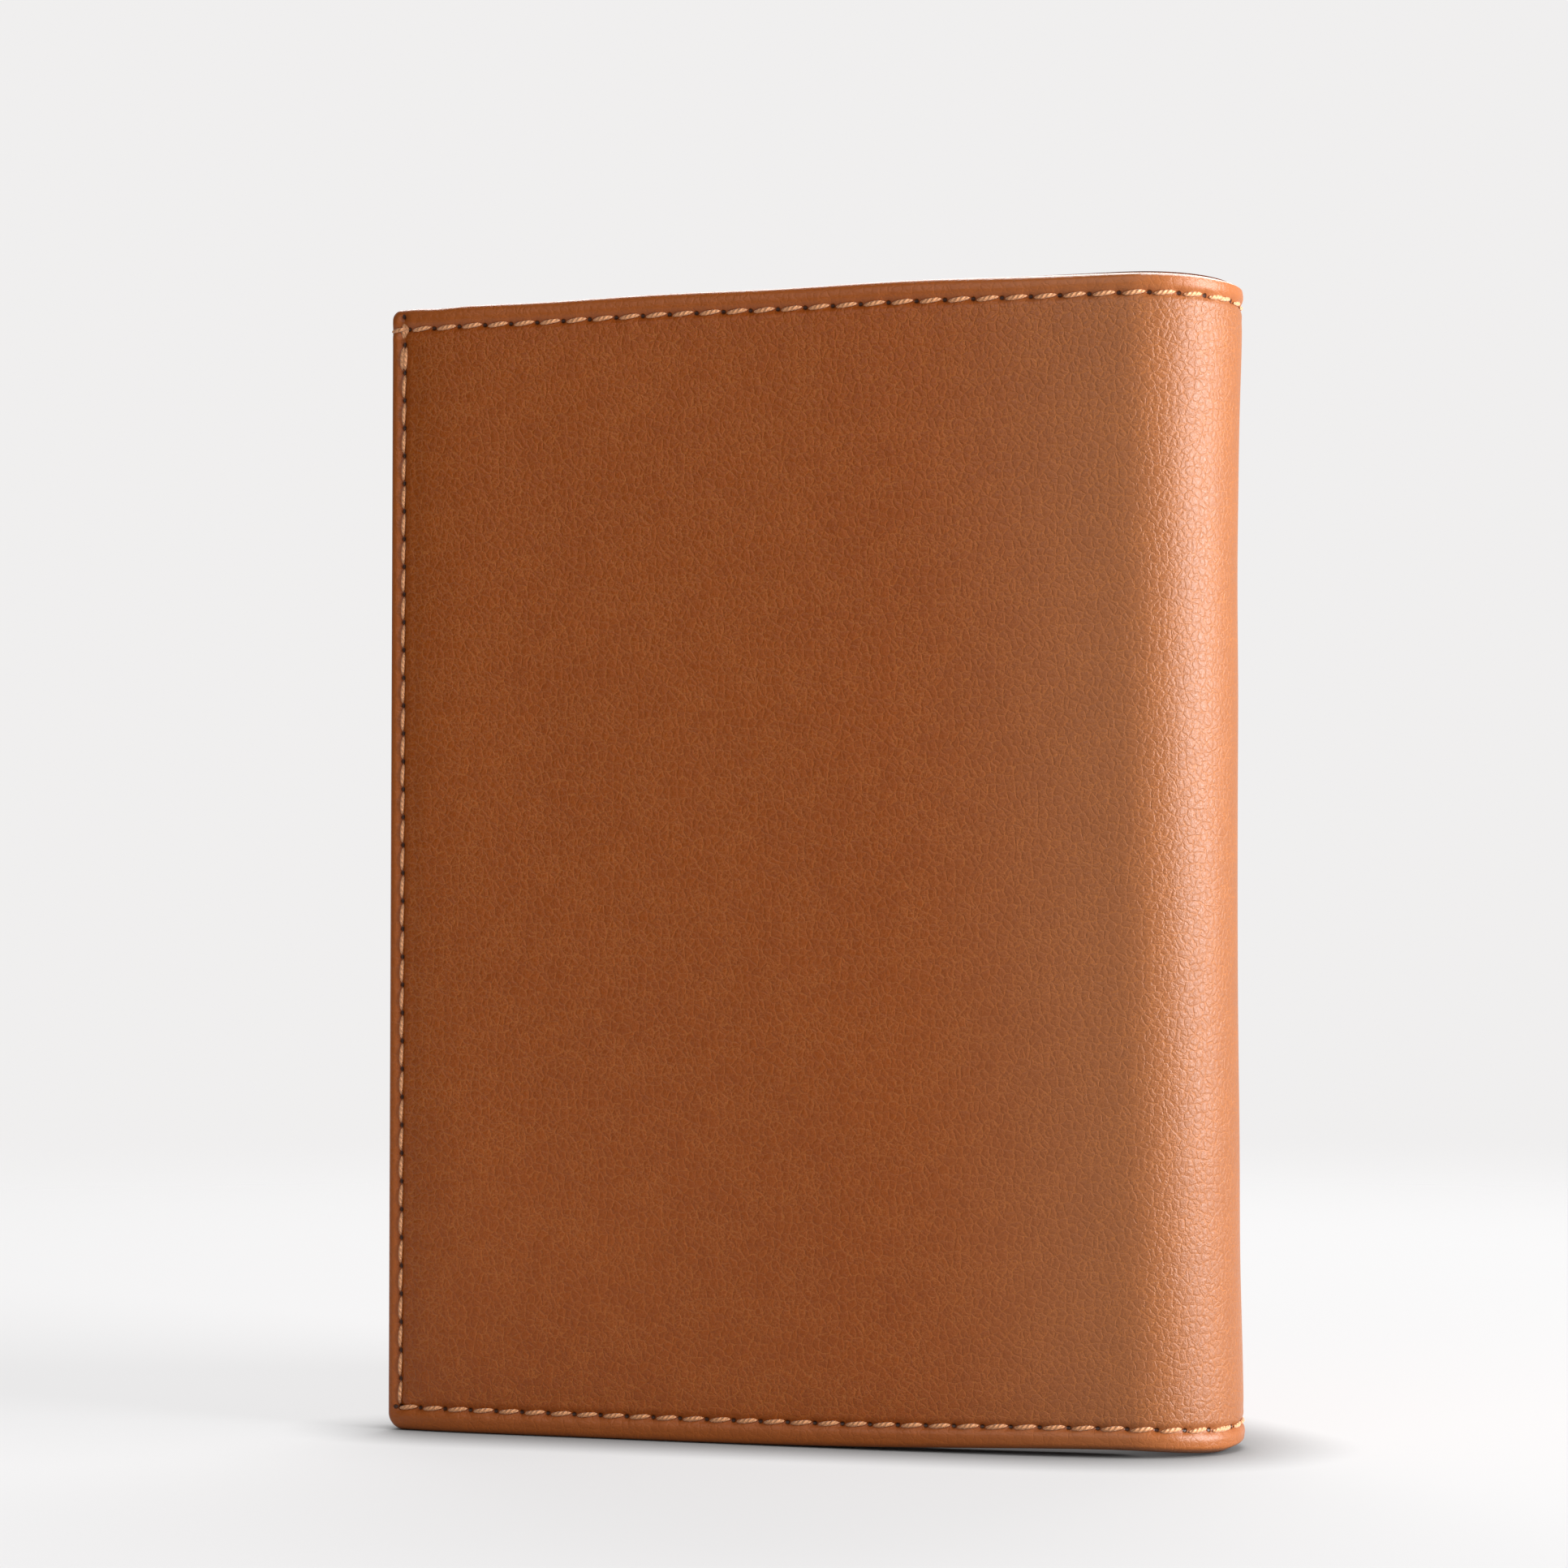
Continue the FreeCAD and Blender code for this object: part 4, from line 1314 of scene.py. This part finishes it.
FLOOR_REACH = 1.2
FLOOR_GLOW = 3.9
CONTACT_SHADOW_REACH = 0.014
FILL_STRENGTH = 0.12
BACKDROP_STRENGTH = 0.62

# Softboxes: azimuth from the back cover's outward side towards the spine, height, distance, size and power
LIGHTS = [
    ("Right softbox", 88.0, 0.14, 0.9, (0.7, 0.95), 39.0),
    ("Front softbox", 5.0, 0.6, 0.95, (1.0, 0.8), 5.0),
    ("Rear softbox", 195.0, 0.85, 0.75, (0.9, 0.7), 12.0),
]


def add_area_light(name, place, aim, size, power, tint=(1.0, 1.0, 1.0)):
    """A square soft light that points at a place."""
    light = bpy.data.lights.new(name, "AREA")
    light.shape = "RECTANGLE"
    light.size = size[0]
    light.size_y = size[1]
    light.energy = power
    light.color = tint
    lamp = bpy.data.objects.new(name, light)
    bpy.context.scene.collection.objects.link(lamp)
    lamp.location = place
    lamp.rotation_euler = (Vector(aim) - Vector(place)).to_track_quat("-Z", "Y").to_euler()
    return lamp


class WALLET_OT_stage(bpy.types.Operator):
    """Adds the floor, the lights and the camera"""

    bl_idname = "wallet.stage"
    bl_label = "Stage"

    def execute(self, context):
        self.add_floor(context)
        self.add_lights(context)
        self.add_camera(context)
        return {"FINISHED"}

    def add_floor(self, context):
        """A pale floor that glows evenly and fades into the surroundings; ambient occlusion dims its glow next to the
        wallet as a painted contact shadow.
        """
        bpy.ops.object.select_all(action="DESELECT")
        bpy.ops.mesh.primitive_plane_add(size=2 * FLOOR_REACH, location=(0, 0, -0.00005))
        floor = context.active_object
        floor.name = "floor"
        material, shader, w = new_material("Pale floor")
        pale = colour(context.scene.wallet_colours.floor)
        shader.inputs["Base Color"].default_value = pale
        shader.inputs["Roughness"].default_value = 0.9
        shader.inputs["Specular IOR Level"].default_value = 0.1
        shader.inputs["Emission Color"].default_value = pale
        # Painted shadow: ambient occlusion dims the floor's glow next to the wallet
        contact_shadow = w.tree.nodes.new("ShaderNodeAmbientOcclusion")
        contact_shadow.inputs["Distance"].default_value = CONTACT_SHADOW_REACH
        unshadowed_share = w.math("POWER", contact_shadow.outputs["AO"], 2.4)
        w.put(w.math("MULTIPLY", unshadowed_share, FLOOR_GLOW), shader.inputs["Emission Strength"])
        place = w.tree.nodes.new("ShaderNodeTexCoord").outputs["Object"]
        reach = w.tree.nodes.new("ShaderNodeVectorMath")
        reach.operation = "LENGTH"
        w.put(place, reach.inputs[0])
        w.put(w.step(reach.outputs["Value"], 0.3, 0.8, 1.0, 0.0), shader.inputs["Alpha"])
        floor.data.materials.append(material)

    def add_lights(self, context):
        """The softboxes, and surroundings that are dim in front, pale behind and even to the camera."""
        world = bpy.data.worlds.new("Pale surroundings")
        world.use_nodes = True
        tree = world.node_tree
        seen = tree.nodes["Background"]
        seen.inputs["Color"].default_value = colour(context.scene.wallet_colours.surroundings)
        seen.inputs["Strength"].default_value = 1.0
        dim = tree.nodes.new("ShaderNodeBackground")
        dim.inputs["Color"].default_value = (1.0, 0.98, 0.96, 1.0)
        w = Wiring(tree)
        _, behind, _ = w.split(tree.nodes.new("ShaderNodeTexCoord").outputs["Generated"])
        w.put(w.step(behind, 0.15, 0.6, FILL_STRENGTH, BACKDROP_STRENGTH), dim.inputs["Strength"])
        path = tree.nodes.new("ShaderNodeLightPath")
        mix = tree.nodes.new("ShaderNodeMixShader")
        tree.links.new(path.outputs["Is Camera Ray"], mix.inputs[0])
        tree.links.new(dim.outputs[0], mix.inputs[1])
        tree.links.new(seen.outputs[0], mix.inputs[2])
        tree.links.new(mix.outputs[0], tree.nodes["World Output"].inputs[0])
        context.scene.world = world
        for name, azimuth, height, distance, size, power in LIGHTS:
            turn = math.radians(azimuth)
            place = (distance * math.sin(turn), -distance * math.cos(turn), height)
            add_area_light(name, place, (0, 0, 0.066), size, power)

    def add_camera(self, context):
        """The camera at the photograph's place."""
        yaw = math.radians(CAMERA_YAW)
        tilt = math.radians(CAMERA_TILT)
        x = START[0] + CAMERA_OFFSET * math.cos(yaw) + CAMERA_DISTANCE * math.sin(yaw)
        y = START[1] + CAMERA_OFFSET * math.sin(yaw) - CAMERA_DISTANCE * math.cos(yaw)
        camera = bpy.data.cameras.new("Camera")
        camera.lens = CAMERA_LENS
        camera.sensor_width = 36
        camera.clip_start = 0.01
        view = bpy.data.objects.new("Camera", camera)
        context.scene.collection.objects.link(view)
        view.location = (x * MM, y * MM, CAMERA_HEIGHT * MM)
        view.rotation_euler = (math.pi / 2 + tilt, 0, yaw)
        context.scene.camera = view
        context.scene.view_settings.view_transform = "Standard"


class WALLET_PT_panel(bpy.types.Panel):
    """The wallet's sizes, colours and steps"""

    bl_label = "Bifold wallet"
    bl_idname = "WALLET_PT_panel"
    bl_space_type = "VIEW_3D"
    bl_region_type = "UI"
    bl_category = "Wallet"

    def draw(self, context):
        layout = self.layout
        for group in (context.scene.wallet_sizes, context.scene.wallet_colours):
            for name in group.__annotations__:
                layout.prop(group, name)
        for step in STEPS:
            layout.operator(step.bl_idname)


STEPS = [
    WALLET_OT_materials,
    WALLET_OT_case,
    WALLET_OT_lining,
    WALLET_OT_boards,
    WALLET_OT_pockets,
    WALLET_OT_window,
    WALLET_OT_stitches,
    WALLET_OT_stage,
]


def register():
    """Adds the classes and the two property groups."""
    for cls in [WalletSizes, WalletColours, *STEPS, WALLET_PT_panel]:
        bpy.utils.register_class(cls)
    bpy.types.Scene.wallet_sizes = bpy.props.PointerProperty(type=WalletSizes)
    bpy.types.Scene.wallet_colours = bpy.props.PointerProperty(type=WalletColours)


def unregister():
    """Takes the classes and the property groups away."""
    del bpy.types.Scene.wallet_colours
    del bpy.types.Scene.wallet_sizes
    for cls in reversed([WalletSizes, WalletColours, *STEPS, WALLET_PT_panel]):
        bpy.utils.unregister_class(cls)


def corners(bounds):
    """Two corners as plain lists of numbers."""
    return [[float(value) for value in corner] for corner in bounds]


def main():
    """Makes every piece in order."""
    register()
    bpy.ops.wallet.materials()
    bpy.ops.wallet.case()
    bpy.ops.wallet.lining()
    bpy.ops.wallet.boards()
    bpy.ops.wallet.pockets()
    bpy.ops.wallet.window()
    bpy.ops.wallet.stitches()
    bpy.ops.wallet.stage()


if __name__ == "__main__":
    main()
